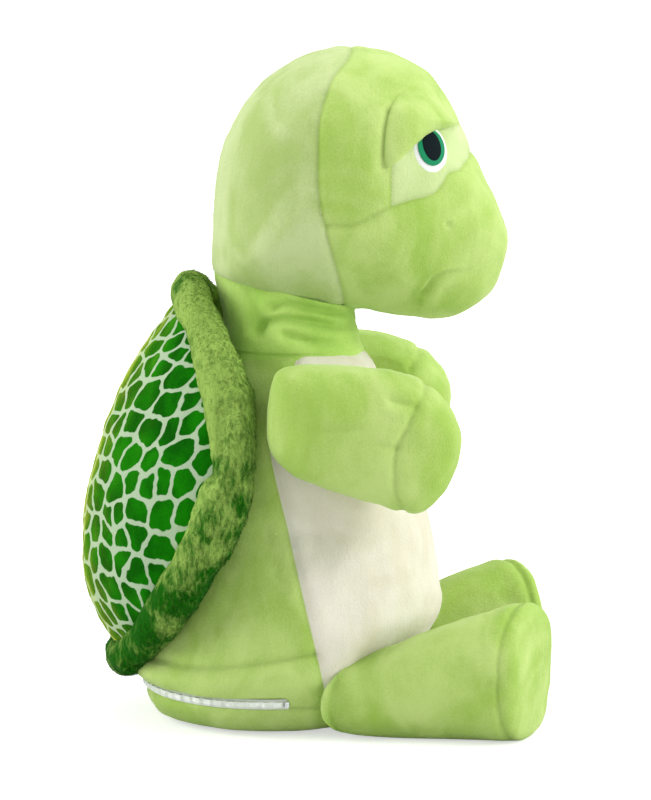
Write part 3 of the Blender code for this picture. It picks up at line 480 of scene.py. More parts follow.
def distance_to(points, line):
    """How far each flat point lies from a line through corners."""
    nearest = np.full(len(points), 1e9)
    for start, end in zip(line, line[1:]):
        along = end - start
        share = ((points - start) @ along) / max(along @ along, 1e-12)
        foot = start + np.clip(share, 0, 1)[:, None] * along
        nearest = np.minimum(nearest, np.hypot(*(points - foot).T))
    return nearest


def inside(points, region):
    """Whether each flat point lies in a closed region."""
    region = np.array(region, float)
    found = np.zeros(len(points), bool)
    for start, end in zip(region, np.roll(region, -1, axis=0)):
        spans = (start[1] > points[:, 1]) != (end[1] > points[:, 1])
        rise = end[1] - start[1] if end[1] != start[1] else 1e-9
        crossing = start[0] + (points[:, 1] - start[1]) / rise * (end[0] - start[0])
        found ^= spans & (points[:, 0] < crossing)
    return found


# Width of the painted shade along seams.
GROOVE_SHADE_WIDTH = 1.3
SWELL_HEIGHT = 0.3
SWELL_PLACE = 3.2
SWELL_WIDTH = 1.8
PUCKER_SIZE = 7
PUCKER_HEIGHT = 0.25
PUCKER_REACH = 6


def close_to(distance, width=GROOVE_SHADE_WIDTH):
    """1 on a line and 0 a little beside it."""
    return np.exp(-(distance / width) ** 2)


def groove(distance, depth, width):
    """The move of cloth beside a seam: drawn in at the thread, swelling a little on both sides."""
    swell = close_to(distance - SWELL_PLACE * width, SWELL_WIDTH * width)
    return depth * (SWELL_HEIGHT * swell - close_to(distance, width))


def puckers(bm, seam, seed):
    """The move of cloth that its seam gathers a little on both sides."""
    return lumps(bm, PUCKER_SIZE, seed) * PUCKER_HEIGHT * close_to(seam, PUCKER_REACH)


def piece(name, bm, body, finish, nodes):
    """Makes an object of a mesh, shades it smooth, and puts it on its body for its nodes."""
    mesh = bpy.data.meshes.new(name)
    bm.to_mesh(mesh)
    bm.free()
    mesh.shade_smooth()
    mesh.materials.append(finish)
    obj = bpy.data.objects.new(name, mesh)
    bpy.context.scene.collection.objects.link(obj)
    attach(obj, body)
    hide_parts(*nodes)


# Materials

def put(tree, kind, inputs=(), **settings):
    """A node with its settings, its inputs set to values or joined to other nodes."""
    made = tree.nodes.new(kind)
    for key, value in settings.items():
        setattr(made, key, value)
    for key, value in dict(inputs).items():
        if isinstance(value, bpy.types.NodeSocket):
            tree.links.new(value, made.inputs[key])
        else:
            made.inputs[key].default_value = value
    return made


def maths(tree, operation, first, second=0.0, third=0.0):
    made = put(tree, "ShaderNodeMath", {0: first, 1: second, 2: third}, operation=operation)
    return made.outputs[0]


def blend_colours(tree, share, first, second):
    made = put(tree, "ShaderNodeMix", {0: share, 6: first, 7: second}, data_type="RGBA")
    return made.outputs[2]


def ramp(tree, value, low, high, to_low=0.0, to_high=1.0):
    made = put(
        tree, "ShaderNodeMapRange",
        {"Value": value, "From Min": low, "From Max": high, "To Min": to_low, "To Max": to_high},
        interpolation_type="SMOOTHSTEP")
    return made.outputs["Result"]


def stored(tree, name):
    """A number kept at the vertices by paint()."""
    return put(tree, "ShaderNodeAttribute", attribute_name=name).outputs["Fac"]


def object_place(tree, stretch=(1, 1, 1)):
    place = put(tree, "ShaderNodeTexCoord").outputs["Object"]
    return put(tree, "ShaderNodeMapping", {"Vector": place, "Scale": stretch}).outputs["Vector"]


def cloudy(tree, place, scale, detail=2.0, distortion=0.0):
    made = put(
        tree, "ShaderNodeTexNoise",
        {"Vector": place, "Scale": scale, "Detail": detail, "Distortion": distortion})
    return made.outputs["Fac"]


def bump(tree, height, strength, distance, under=None):
    inputs = {"Height": height, "Strength": strength, "Distance": distance * MM}
    if under:
        inputs["Normal"] = under
    return put(tree, "ShaderNodeBump", inputs).outputs["Normal"]


def new_finish(name, roughness=0.9, metallic=0.0, sheen=0.0, tint=(1, 1, 1), specular=0.3):
    material = bpy.data.materials.new(name)
    material.use_nodes = True
    shader = material.node_tree.nodes["Principled BSDF"]
    shader.inputs["Roughness"].default_value = roughness
    shader.inputs["Metallic"].default_value = metallic
    shader.inputs["Specular IOR Level"].default_value = specular
    shader.inputs["Sheen Weight"].default_value = sheen
    shader.inputs["Sheen Roughness"].default_value = 0.45
    shader.inputs["Sheen Tint"].default_value = (*tint, 1)
    return material, material.node_tree, shader


def brushed_tone(tree, deep, light, patch_size=45):
    """Short pile that lies this way and that: lighter and deeper patches, and fibres."""
    patches = cloudy(tree, object_place(tree, (1, 1, 0.7)), 1000 / patch_size, 2, 1.0)
    strokes = cloudy(tree, object_place(tree, (1, 1, 0.5)), 110, 2, 0.6)
    fibres = cloudy(tree, object_place(tree), 900, 2)
    mixed = maths(tree, "MULTIPLY_ADD", patches, 0.68, maths(tree, "MULTIPLY", strokes, 0.14))
    mixed = maths(tree, "MULTIPLY_ADD", fibres, 0.18, mixed)
    return blend_colours(tree, ramp(tree, mixed, 0.33, 0.67), (*deep, 1), (*light, 1))


SEAM_SHADE = 0.25


def plush(name, deep, light, panels=()):
    """Soft plush. A panel (stored number, deep, light) is sewn in where its number is over 0."""
    material, tree, shader = new_finish(name, 0.95, sheen=0.22, tint=(0.95, 1.0, 0.75), specular=0.1)
    colour = brushed_tone(tree, deep, light)
    for mask, deep_too, light_too in panels:
        sewn_in = ramp(tree, stored(tree, mask), -0.4, 0.4)
        colour = blend_colours(tree, sewn_in, colour, brushed_tone(tree, deep_too, light_too))
    # Painted shade: darker along the seams and in the creases, folds and nostril, where the stored
    # number marks a groove.
    shade = maths(tree, "MULTIPLY", stored(tree, "groove_shade"), SEAM_SHADE)
    dark = tuple(value * 0.45 for value in deep)
    colour = blend_colours(tree, shade, colour, (*dark, 1))
    tree.links.new(colour, shader.inputs["Base Color"])
    pile = bump(tree, cloudy(tree, object_place(tree), 750, 3), 0.5, 0.7)
    nap = bump(tree, cloudy(tree, object_place(tree, (1, 1, 0.4)), 120, 2), 0.3, 1.2, pile)
    tree.links.new(nap, shader.inputs["Normal"])
    return material


LIME_DEEP = (0.325, 0.505, 0.088)
LIME_LIGHT = (0.500, 0.655, 0.210)
# Painted light: the neck's green is lifted above its own deeper green, against the shade of the head
# and rim.
GREEN_DEEP = (0.360, 0.600, 0.100)
GREEN_LIGHT = (0.560, 0.780, 0.210)
PALE_DEEP = (0.490, 0.620, 0.260)
PALE_LIGHT = (0.580, 0.700, 0.340)
# Back of the head: paler and greyer than the face, partly the panel's own tone and partly painted
# light from behind.
BACK_DEEP = (0.370, 0.500, 0.150)
BACK_LIGHT = (0.540, 0.650, 0.310)
CREAM_DEEP = (0.710, 0.665, 0.520)
CREAM_LIGHT = (0.820, 0.795, 0.690)
# Pile colours: the deep one is painted shade at the roots and low on the rim, the tip one painted
# light.
PILE_DEEP = (0.006, 0.105, 0.001)
PILE_LIGHT = (0.300, 0.460, 0.095)
PILE_TIP = (0.340, 0.540, 0.090)
PRINT_DEEP = (0.001, 0.078, 0.001)
PRINT_LIGHT = (0.006, 0.195, 0.001)
PRINT_LINES = (0.400, 0.525, 0.345)


# Head

FRONT_SEAM = smooth_line(FRONT_REGION[:10])
MUZZLE_SEAM = smooth_line(MUZZLE_REGION[:14])
PATCH_EDGE = smooth_line(PATCH_REGION[:7], 4)
MOUTH = smooth_line([
    (61.6, 21.8), (63.5, 24.7), (67, 29.5), (73, 32.5), (80, 34), (88, 34.5), (98, 34.5)])
MOUTH_RIDGE = 0.8
MOUTH_DEPTH = 1.6
LIP_PLUMP = 1.2
NOSTRIL = (77.6, 61)
NOSTRIL_DEPTH = 1.6
LID_CREASE = smooth_line([(38.9, 96), (39.3, 105), (40.3, 117), (42.5, 126)])
LID_CREASE_DEPTH = 1.2
FAR_AWAY = 99


def press_to_plane(bm, point, normal, depth=0.0):
    """Flattens what lies behind a plane on to it."""
    for vertex in bm.verts:
        behind = (vertex.co - point).dot(normal) + depth
        if behind < 0:
            vertex.co -= normal * behind


def make_head():
    point, normal = turn_plane()
    bm = soft_form(340, 200, head_place)
    seen = points_of(bm)
    flat = seen[:, 1:] - (0, HEAD_UP / MM)
    ahead = inside(flat, list(map(tuple, FRONT_SEAM)) + FRONT_REGION[-2:])
    in_muzzle = inside(flat, list(map(tuple, MUZZLE_SEAM)) + MUZZLE_REGION[-3:]) & ahead

    front_seam = distance_to(flat, FRONT_SEAM)
    muzzle_seam = np.where(ahead, distance_to(flat, MUZZLE_SEAM), FAR_AWAY)
    patch_edge = distance_to(flat, PATCH_EDGE)
    in_patch = np.where(inside(flat, PATCH_REGION), patch_edge, -patch_edge)
    pale = np.minimum(in_patch, np.where(in_muzzle, -1, 1) * muzzle_seam)
    patch_seam = np.where(in_muzzle, FAR_AWAY, patch_edge)

    mouth = distance_to(flat, MOUTH)
    fade = np.clip((94 - flat[:, 0]) / 22, 0, 1)
    mouth_up = np.interp(flat[:, 0], MOUTH[:, 0], MOUTH[:, 1])
    below = (flat[:, 1] < mouth_up) & (flat[:, 0] > MOUTH[0, 0])
    fold = below * close_to(mouth - 2.6, 2.0)
    lip = below * close_to(mouth - 8, 4)
    nostril = np.hypot(*(flat - NOSTRIL).T)
    lid_crease = distance_to(flat, LID_CREASE)

    moves = lumps(bm, 60, 1.0) * 1.2 + lumps(bm, 14, 2.0) * 0.25
    moves += groove(front_seam, 1.0, 2.0) + groove(muzzle_seam, 1.1, 2.2)
    moves += groove(patch_seam, 0.4, 1.6) + groove(lid_crease, LID_CREASE_DEPTH, 2.4)
    moves += (MOUTH_RIDGE * close_to(mouth, 1.6) - MOUTH_DEPTH * fold + LIP_PLUMP * lip) * fade
    moves -= NOSTRIL_DEPTH * close_to(nostril, 2.2)
    move_out(bm, moves + puckers(bm, np.minimum(front_seam, muzzle_seam), 3.0))
    paint(bm, "pale", pale)
    paint(bm, "back", np.where(ahead, -front_seam, front_seam))
    # Painted shade in the seams' grooves, the mouth's fold, the lid's crease and the nostril.
    paint(bm, "groove_shade", np.maximum.reduce([
        close_to(front_seam), close_to(muzzle_seam), close_to(patch_seam), 0.8 * fold * fade,
        1.3 * close_to(lid_crease, 1.8) * np.clip((flat[:, 1] - 93) / 12, 0, 1),
        0.9 * close_to(nostril, 1.6)]))
    press_to_plane(bm, point, normal)
    piece(
        "head_plush", bm, "head", FACE_PLUSH,
        ["head_back_panel", "face_panel", "muzzle_panel", "eye_patch_left", "eye_patch_right",
         "lower_lip", "head_pod"])


def on_head(centre, offset, lift, side):
    """A point above the head's side: an offset ahead and up from a centre, in millimetres."""
    place, normal = head_surface(centre[0] + offset[0], centre[1] + offset[1], side)
    return place + normal * lift * MM


EYE_CENTRE = (66.3, 104)
EYE_SLANT = 17
# Node, half width and half height, thickness, lift, rise from the eye's centre, finish
EYE_LAYERS = [
    ("eye_white_", (9.6, 14.4), 2.0, 0.0, 0.0, "eye_white"),
    ("iris_", (7.5, 10.6), 0.45, 0.4, 1.0, "eye_green"),
    ("pupil_", (4.9, 8.8), 0.4, 0.8, 2.0, "eye_black"),
]


def make_eye(side, name):
    """The eye's embroidered layers, each a thin pillow on the head's side."""
    slant = math.radians(EYE_SLANT)
    white_half, white_thickness = EYE_LAYERS[0][1:3]
    for prefix, (half_width, half_height), thickness, lift, rise, finish in EYE_LAYERS:
        bm = bmesh.new()
        bmesh.ops.create_uvsphere(bm, u_segments=56, v_segments=28, radius=1)
        for vertex in bm.verts:
            across, tall, out = vertex.co
            spot = (half_width * across, half_height * tall + rise)
            turned_spot = (
                spot[0] * math.cos(slant) - spot[1] * math.sin(slant),
                spot[0] * math.sin(slant) + spot[1] * math.cos(slant))
            dome = 1 - (spot[0] / white_half[0]) ** 2 - (spot[1] / white_half[1]) ** 2
            crown = 0 if prefix == "eye_white_" else white_thickness * math.sqrt(max(0, dome))
            height = crown + lift + thickness * (out if out > 0 else 0.4 * out)
            vertex.co = on_head(EYE_CENTRE, turned_spot, height, side)
        turn_outward(bm)
        piece(
            prefix[:-1] + "_stitched_" + name, bm, "head", EYE_FINISHES[finish], [prefix + name])


LID_OUTLINE = [
    (40.3, 94.5), (44.5, 96.6), (48.5, 100), (52.8, 104), (58, 108), (63, 111.6), (68.5, 114.2),
    (75, 115.6), (81, 116.4), (81.5, 119), (77, 126), (71, 132.5), (63, 137), (54, 138),
    (47, 134.5), (42.8, 127), (40.5, 117), (39.5, 105),
]
LID_CENTRE = (60, 119)
LID_BULGE = 7.5
LID_REACH = outline_reader(LID_OUTLINE, LID_CENTRE)


def make_lid(side, name):
    """The stuffed lid: steep at its lower edge and its rear crease, melting into the forehead."""
    bm = bmesh.new()
    bmesh.ops.create_uvsphere(bm, u_segments=96, v_segments=40, radius=1)
    for vertex in bm.verts:
        across, tall, out = vertex.co
        angle = math.atan2(tall, across)
        reach = LID_REACH(angle)
        radius = math.hypot(across, tall)
        steep = smooth_step(0.3, -0.2, math.sin(angle)) + smooth_step(-0.5, -0.9, math.cos(angle))
        power = 1.5 - 1.05 * min(1, steep)
        height = LID_BULGE * max(0, 1 - radius * radius) ** power if out > 0 else -1.5
        vertex.co = on_head(LID_CENTRE, (reach * across, reach * tall), height, side)
    turn_outward(bm)
    bmesh.ops.smooth_vert(
        bm, verts=bm.verts, factor=0.5, use_axis_x=True, use_axis_y=True, use_axis_z=True)
    move_out(bm, lumps(bm, 16, 4.0) * 0.4)
    # No painted shade on the lid.
    paint(bm, "groove_shade", np.zeros(len(bm.verts)))
    piece(
        "eyelid_plush_" + name, bm, "head", LIME_PLUSH, ["eyelid_" + name])


# Neck, arms and legs

# Creases of the neck in the side view: corners as forward and up, depth, width
NECK_CREASES = [
    ([(-24, 251), (-17.4, 253.5), (-12, 252.8), (-1, 250), (11, 247), (17, 245.5), (28, 243)],
     2.4, 2.0),
    ([(-33, 238), (-29, 241.2), (-21, 243.5), (-11, 243.5), (-1, 242), (9, 239.5), (17, 238),
      (28, 237)], 2.8, 2.4),
    ([(-18, 235), (-14, 234), (-6, 231.5), (3, 230), (16, 229.5), (30, 229)], 2.0, 2.2),
    ([(-45, 266), (-41, 262), (-38, 256), (-33.6, 246), (-31.5, 236)], 1.4, 3.5),
]
CREASE_DEEPENING = 1.6
CREASE_SHADE = 0.12
NECK_SMOOTH_FROM = 22
NECK_IN_HEAD = 2 * MM


def make_neck():
    """The neck with the creases that the head's weight presses in, the same on both sides."""
    point, normal = turn_plane()
    bm = soft_form(240, 170, neck_place)
    seen = points_of(bm)
    creased = np.clip((NECK_SMOOTH_FROM - seen[:, 1]) / 14, 0.15, 1)
    moves = np.zeros(len(seen))
    shade = np.zeros(len(seen))
    for corners, depth, width in NECK_CREASES:
        near = distance_to(seen[:, 1:], smooth_line(corners))
        moves += CREASE_DEEPENING * groove(near, depth, width) * creased
        shade = np.maximum(shade, CREASE_SHADE * depth * close_to(near, width))
    moves += lumps(bm, 30, 5.0) * creased
    moves *= np.clip((seen[:, 2] - BALL_UP / MM - 12) / 12, 0, 1)
    move_out(bm, moves)
    # Painted shade in the creases.
    paint(bm, "groove_shade", shade)
    press_to_plane(bm, point, -normal, NECK_IN_HEAD)
    piece(
        "neck_plush", bm, "neck", NECK_PLUSH, ["neck_skin", "neck_filling"])


LIMB_EMBEDDED = 1.5 * MM
LIMB_SEAM_DEPTH = 1.4
LIMB_SEAM_WIDTH = 2.0
LIMB_SEAM_SHADE = 0.7
HAND_RAISED = 4 * MM
SHOULDER_RAISED = 5 * MM
HAND_SEAM = smooth_line([
    (66, 226), (62.9, 208), (59.7, 203), (55.8, 194.5), (52, 185), (47.5, 176), (45.6, 164.5),
    (46.3, 148), (49.7, 138), (54, 122)])
# Small folds of the arm in the side view: start, end, depth
ARM_FOLDS = [
    ((4, 186.5), (25, 186.5), 0.7), ((43, 204), (57, 200), 0.9), ((38, 176), (47, 174.5), 0.9)]


def make_arm(side, name):
    bm = soft_form(180, 110, arm_place(side))
    seen = points_of(bm)
    flat = seen[:, 1:]
    cap_seam = distance_to(flat, HAND_SEAM)
    moves = lumps(bm, 45, 6.0) * 1.3 + lumps(bm, 12, 7.0) * 0.2
    moves += groove(cap_seam, LIMB_SEAM_DEPTH, LIMB_SEAM_WIDTH) + puckers(bm, cap_seam, 8.0)
    for start, end, depth in ARM_FOLDS:
        moves += groove(distance_to(flat, np.array([start, end])), depth, 1.8)
    move_out(bm, moves)
    # Painted shade along the hand's seam.
    paint(bm, "groove_shade", LIMB_SEAM_SHADE * close_to(cap_seam))
    for vertex in bm.verts:
        vertex.co.x = side * max(side * vertex.co.x, ARM_PLANE - LIMB_EMBEDDED)
        toward_hand = smooth_step(-0.01, 0.06, -vertex.co.y)
        upper = smooth_step(0.175, 0.215, vertex.co.z)
        vertex.co.z += HAND_RAISED * toward_hand * (1 - upper)
        vertex.co.z += SHOULDER_RAISED * (1 - toward_hand) * upper
    piece(
        "arm_plush_" + name, bm, "arm_" + name, LIME_PLUSH,
        ["arm_skin_" + name, "hand_cap_" + name, "arm_filling_" + name])


def make_leg(side, name):
    place, axis = hip_frame(side)
    turn = math.radians(SOLE_TURN)
    sole_out = np.array((side * math.sin(turn), math.cos(turn), 0))
    splay = math.radians(LEG_SPLAY)
    start = np.array((side * LEG_START[0], LEG_START[1], 0))
    seam_point = start + np.array((side * math.sin(splay), math.cos(splay), 0)) * SOLE_SEAM / MM
    bm = soft_form(180, 150, leg_place(side))
    seen = points_of(bm)
    sole_seam = np.abs((seen - seam_point) @ sole_out)
    moves = lumps(bm, 50, 9.0) * 1.3 + lumps(bm, 12, 10.0) * 0.2
    moves += groove(sole_seam, LIMB_SEAM_DEPTH, LIMB_SEAM_WIDTH) + puckers(bm, sole_seam, 11.0)
    moves *= np.clip(seen[:, 2] / 4, 0, 1)
    move_out(bm, moves)
    # Painted shade along the sole's seam.
    paint(bm, "groove_shade", LIMB_SEAM_SHADE * close_to(sole_seam))
    for vertex in bm.verts:
        spoke = vertex.co - place
        distance = spoke.dot(axis)
        radius = (spoke - axis * distance).length
        vertex.co += axis * max(0, hip_rise(radius) - LIMB_EMBEDDED - distance)
    piece(
        "leg_plush_" + name, bm, "leg_" + name, LIME_PLUSH,
        ["leg_skin_" + name, "foot_sole_" + name, "leg_filling_" + name])


# Torso

BELLY_SEAM = smooth_line(BELLY_OUTLINE[:9])
# Seam round the torso above the zip in the side view: forward and up
BAND_SEAM = [(-120, 43), (-91, 42.5), (-67, 42.1), (-38, 45), (-3, 50.4), (12, 52.5)]
ZIP_SLOT_LOW = 18.2
ZIP_SLOT_HIGH = 25.3
ZIP_SLOT_DEPTH = 4.0
ZIP_CENTRE = 28
ZIP_HALF_ANGLE = 100


def make_torso():
    bm = soft_form(260, 210, torso_place)
    seen = points_of(bm)
    flat = seen[:, 1:]
    region = list(map(tuple, BELLY_SEAM)) + BELLY_OUTLINE[-2:]
    in_belly = inside(flat, region) & (seen[:, 2] > BASE_SEAM_UP / MM)
    belly_seam = distance_to(flat, BELLY_SEAM)
    base_seam = np.abs(seen[:, 2] - BASE_SEAM_UP / MM)
    band_seam = np.where(in_belly, FAR_AWAY, distance_to(flat, smooth_line(BAND_SEAM)))
    bearing = np.degrees(np.abs(np.arctan2(seen[:, 0], -(seen[:, 1] + ZIP_CENTRE))))
    rear = np.clip((ZIP_HALF_ANGLE - bearing) / 3, 0, 1)
    slot = np.clip((seen[:, 2] - ZIP_SLOT_LOW) / 1.2, 0, 1)
    slot *= np.clip((ZIP_SLOT_HIGH - seen[:, 2]) / 1.2, 0, 1)

    moves = lumps(bm, 55, 12.0) * 1.6 + lumps(bm, 14, 13.0) * 0.2
    moves += groove(belly_seam, 1.4, 2.2) * (seen[:, 2] > 15) + groove(band_seam, 1.8, 2.2)
    moves += groove(base_seam, 1.0, 1.8) * (1 - rear)
    moves += puckers(bm, np.minimum(belly_seam, band_seam), 14.0)
    moves *= np.clip((seen[:, 2] - 0.5) / 5, 0, 1)
    moves -= ZIP_SLOT_DEPTH * slot * rear
    move_out(bm, moves)
    belly = np.where(in_belly, belly_seam, -belly_seam)
    paint(bm, "belly", np.minimum(belly, seen[:, 2] - BASE_SEAM_UP / MM))
    # Painted shade along the belly, band and base seams.
    paint(bm, "groove_shade", np.maximum.reduce([
        0.4 * close_to(belly_seam), close_to(band_seam), close_to(base_seam) * (1 - rear)]))
    piece(
        "torso_plush", bm, "torso", BODY_PLUSH,
        ["torso_skin", "belly_panel", "base_panel", "torso_pod"])


# Shell

NARROWEST = 8


def make_dome():
    """The dome, with each vertex's place on the cloth: across and along it in millimetres."""
    bm = soft_form(220, 150, dome_place)
    seen = points_of(bm)
    ups, half_widths, lines, backs = np.array(DOME_ROWS, float).T[:4]
    half_width = np.interp(seen[:, 2], ups, half_widths)
    line = np.interp(seen[:, 2], ups, lines)
    depth = np.maximum(line - np.interp(seen[:, 2], ups, backs), NARROWEST)
    angle = np.arctan2(seen[:, 0] / np.maximum(half_width, NARROWEST), (line - seen[:, 1]) / depth)
    climb = np.concatenate(([0], np.cumsum(np.hypot(np.diff(ups), np.diff(backs)))))
    paint(bm, "across", angle * (half_width + depth) / 2 * CELL_STRETCH)
    paint(bm, "along", np.interp(seen[:, 2], ups, climb))
    move_out(bm, lumps(bm, 40, 15.0) * 1.5 + lumps(bm, 10, 16.0) * 0.25)
    piece(
        "shell_dome_print", bm, "torso", SHELL_PRINT, ["shell_cover", "shell_filling"])


RIM_FINE_STEPS = 420
# Creases of the rim in the side view: corners as forward and up, depth, width
RIM_CREASES = [
    ([(-52, 196), (-55, 184), (-58, 172), (-64, 160)], 3.4, 3.0),
    ([(-60, 222), (-52, 208), (-46, 192)], 1.2, 3.0),
]
STRAND_DOUBLINGS = 15
STRANDS = 2 ** STRAND_DOUBLINGS
STRAND_LENGTH = 3.2
STRAND_RADIUS = 0.3
STRAND_ROOT = 0.6
STRAND_LIFT = 0.42
TUFT_SIZE = 9
TUFT_SWAY = 1.3
# Without a seed of its own, vector noise starts from the clock
SWAY_SEED = 13


def spots_on(bm, count):
    """Places spread at random over a form's four-sided faces, and the way out at each."""
    picker = np.random.RandomState(11)
    faces = [face for face in bm.faces if len(face.verts) == 4]
    corners = np.array([[vertex.co[:] for vertex in face.verts] for face in faces])
    outward = np.array([face.normal[:] for face in faces])
    area = np.array([face.calc_area() for face in faces])
    chosen = picker.choice(len(faces), count, p=area / area.sum())
    ahead, aside = picker.random_sample((2, count, 1))
    first, second, third, fourth = (corners[chosen, k] for k in range(4))
    low = first + (second - first) * ahead
    high = fourth + (third - fourth) * ahead
    return low + (high - low) * aside, outward[chosen]


def add_strands(bm, spots, outward):
    """Adds a strand of pile at each place: a thin closed spike, combed back and down in tufts."""
    picker = np.random.RandomState(12)
    strands = bmesh.new()
    bmesh.ops.create_cone(strands, cap_ends=True, segments=3, radius1=1, radius2=0, depth=1)
    for _ in range(STRAND_DOUBLINGS):
        bmesh.ops.duplicate(strands, geom=strands.verts[:] + strands.edges[:] + strands.faces[:])
    paint(strands, "tip", [vertex.co.z > 0 for vertex in strands.verts])
    points = []
    for tip in [vertex for vertex in strands.verts if vertex.co.z > 0]:
        points += [tip] + [edge.other_vert(tip) for edge in tip.link_edges]
    shape = np.array([vertex.co[:] for vertex in points]).reshape(len(spots), -1, 3)
    noise.seed_set(SWAY_SEED)
    sway = np.array([noise.noise_vector(Vector(spot) / (TUFT_SIZE * MM))[:] for spot in spots])
    stray = picker.normal(0, 0.22, spots.shape)
    lean = np.array((0, -0.1, -0.6)) + sway * TUFT_SWAY + stray
    lean -= outward * (lean * outward).sum(1)[:, None]
    way = outward * STRAND_LIFT + lean / np.maximum(np.linalg.norm(lean, axis=1), 0.3)[:, None]
    way /= np.linalg.norm(way, axis=1)[:, None]
    aside = np.cross(way, outward + stray * 0.1)
    aside /= np.linalg.norm(aside, axis=1)[:, None]
    across = np.cross(way, aside)
    length = STRAND_LENGTH * MM * picker.uniform(0.6, 1.1, (len(spots), 1))
    length *= np.clip(1.1 - 0.8 * outward[:, 1:2], 0.4, 1)
    radius = STRAND_RADIUS * MM
    along = (shape[:, :, 2:] + 0.5) * length[:, None] - STRAND_ROOT * MM
    places = spots[:, None] + way[:, None] * along
    places += (aside[:, None] * shape[:, :, :1] + across[:, None] * shape[:, :, 1:2]) * radius
    for vertex, place in zip(points, places.reshape(-1, 3)):
        vertex.co = place
    mesh = bpy.data.meshes.new("strands")
    strands.to_mesh(mesh)
    strands.free()
    bm.from_mesh(mesh)
    bpy.data.meshes.remove(mesh)


def pile_shade_and_tone(bm):
    """How light the pile is: painted light and shade, lightest at the top of the rim, in broad
    patches.
    """
    height = points_of(bm)[:, 2]
    # Painted light and shade: lighter the higher on the rim.
    lightness = np.interp(height, [20, 80, 150, 230], [0.2, 0.22, 0.6, 0.8])
    return lightness + lumps(bm, 24, 20.0) * 0.45


def make_rim():
    """The stuffed tube of longer pile, lumpy and pressed in where it bends."""
    around = RIM_POINTS + [(-x, f, z, r) for x, f, z, r in reversed(RIM_POINTS[1:-1])]
    count = len(around)
    closed = [around[-1]] + around + [around[0], around[1]]
    curve = bpy.data.curves.new("rim_line", "CURVE")
    curve.dimensions = "3D"
    curve.bevel_depth = 1.0 * MM
    curve.bevel_resolution = 12
    spline = curve.splines.new("POLY")
    spline.points.add(RIM_FINE_STEPS - 1)
    for k, point in enumerate(spline.points):
        along = k * count / RIM_FINE_STEPS
        step = int(along)
        side, forward, up, radius = read_rows(closed[step:step + 4], 1 + along - step)
        point.co = (*at(side, forward, up), 1)
        point.radius = radius
    spline.use_cyclic_u = True
    line = bpy.data.objects.new("rim_line", curve)
    bpy.context.scene.collection.objects.link(line)
    depsgraph = bpy.context.evaluated_depsgraph_get()
    mesh = bpy.data.meshes.new_from_object(line.evaluated_get(depsgraph))
    bm = bmesh.new()
    bm.from_mesh(mesh)
    bpy.data.objects.remove(line)
    bpy.data.curves.remove(curve)
    bpy.data.meshes.remove(mesh)
    bmesh.ops.remove_doubles(bm, verts=bm.verts, dist=1e-6)
    turn_outward(bm)
    seen = points_of(bm)
    moves = lumps(bm, 38, 17.0) * 2.0 + lumps(bm, 12, 18.0) * 0.8 - 1.8
    outer = np.abs(seen[:, 0]) > 60
    for corners, depth, width in RIM_CREASES:
        moves += groove(distance_to(seen[:, 1:], smooth_line(corners)), depth, width) * outer
    move_out(bm, moves)
    spots, outward = spots_on(bm, STRANDS)
    paint(bm, "tip", np.zeros(len(bm.verts)))
    add_strands(bm, spots, outward)
    # Painted light and shade on the rim, lighter with height, with random patches of tone.
    paint(bm, "tone", pile_shade_and_tone(bm))
    piece("shell_rim_pile", bm, "torso", RIM_PILE, ["shell_rim"])


# Finishes

# The back panel's paler tone is partly painted light from behind.
FACE_PLUSH = plush(
    "face_plush", LIME_DEEP, LIME_LIGHT,
    [("pale", PALE_DEEP, PALE_LIGHT), ("back", BACK_DEEP, BACK_LIGHT)])
LIME_PLUSH = plush("lime_plush", LIME_DEEP, LIME_LIGHT)
# The neck's colours carry painted light against its shade.
NECK_PLUSH = plush("neck_green_plush", GREEN_DEEP, GREEN_LIGHT)
BODY_PLUSH = plush("body_plush", LIME_DEEP, LIME_LIGHT, [("belly", CREAM_DEEP, CREAM_LIGHT)])


def long_pile():
    """Long pile: painted shade at the root, painted light at the tips, lighter and darker patches."""
    material, tree, shader = new_finish(
        "olive_pile", 0.95, sheen=0.05, tint=(0.8, 1.0, 0.5), specular=0.05)
    streaks = cloudy(tree, object_place(tree, (1, 1, 0.35)), 420, 3, 0.5)
    tone = maths(tree, "ADD", stored(tree, "tone"), ramp(tree, streaks, 0.3, 0.7, -0.2, 0.2))
    colour = blend_colours(tree, ramp(tree, tone, 0.05, 0.95), (*PILE_DEEP, 1), (*PILE_LIGHT, 1))
    # Painted light: the tips drawn lighter, most where the rim is painted lightest.
    at_tip = maths(tree, "MULTIPLY", maths(tree, "MULTIPLY", stored(tree, "tip"), tone), 0.5)
    colour = blend_colours(tree, at_tip, colour, (*PILE_TIP, 1))
    tree.links.new(colour, shader.inputs["Base Color"])
    tree.links.new(bump(tree, streaks, 0.6, 1.2), shader.inputs["Normal"])
    return material


RIM_PILE = long_pile()
CELL_SIZE = 16.5
CELL_STRETCH = 1.18
LINE_FROM = 0.075
LINE_TO = 0.097
CORNER_SAMPLES = 6
CORNER_REACH = 0.1 * CELL_SIZE


def rounded_cells(tree, place):
    """Distance to the edge of cells, averaged over a small ring, which rounds their corners."""
    total = 0.0
    for k in range(CORNER_SAMPLES):
        turn = math.tau * k / CORNER_SAMPLES
        offset = (CORNER_REACH * math.cos(turn), CORNER_REACH * math.sin(turn), 0)
        beside = put(tree, "ShaderNodeVectorMath", {0: place, 1: offset}, operation="ADD").outputs[0]
        edge = put(
            tree, "ShaderNodeTexVoronoi",
            {"Vector": beside, "Scale": 1 / CELL_SIZE, "Randomness": 0.85},
            voronoi_dimensions="2D", feature="DISTANCE_TO_EDGE").outputs["Distance"]
        total = maths(tree, "MULTIPLY_ADD", edge, 1 / CORNER_SAMPLES, total)
    return total


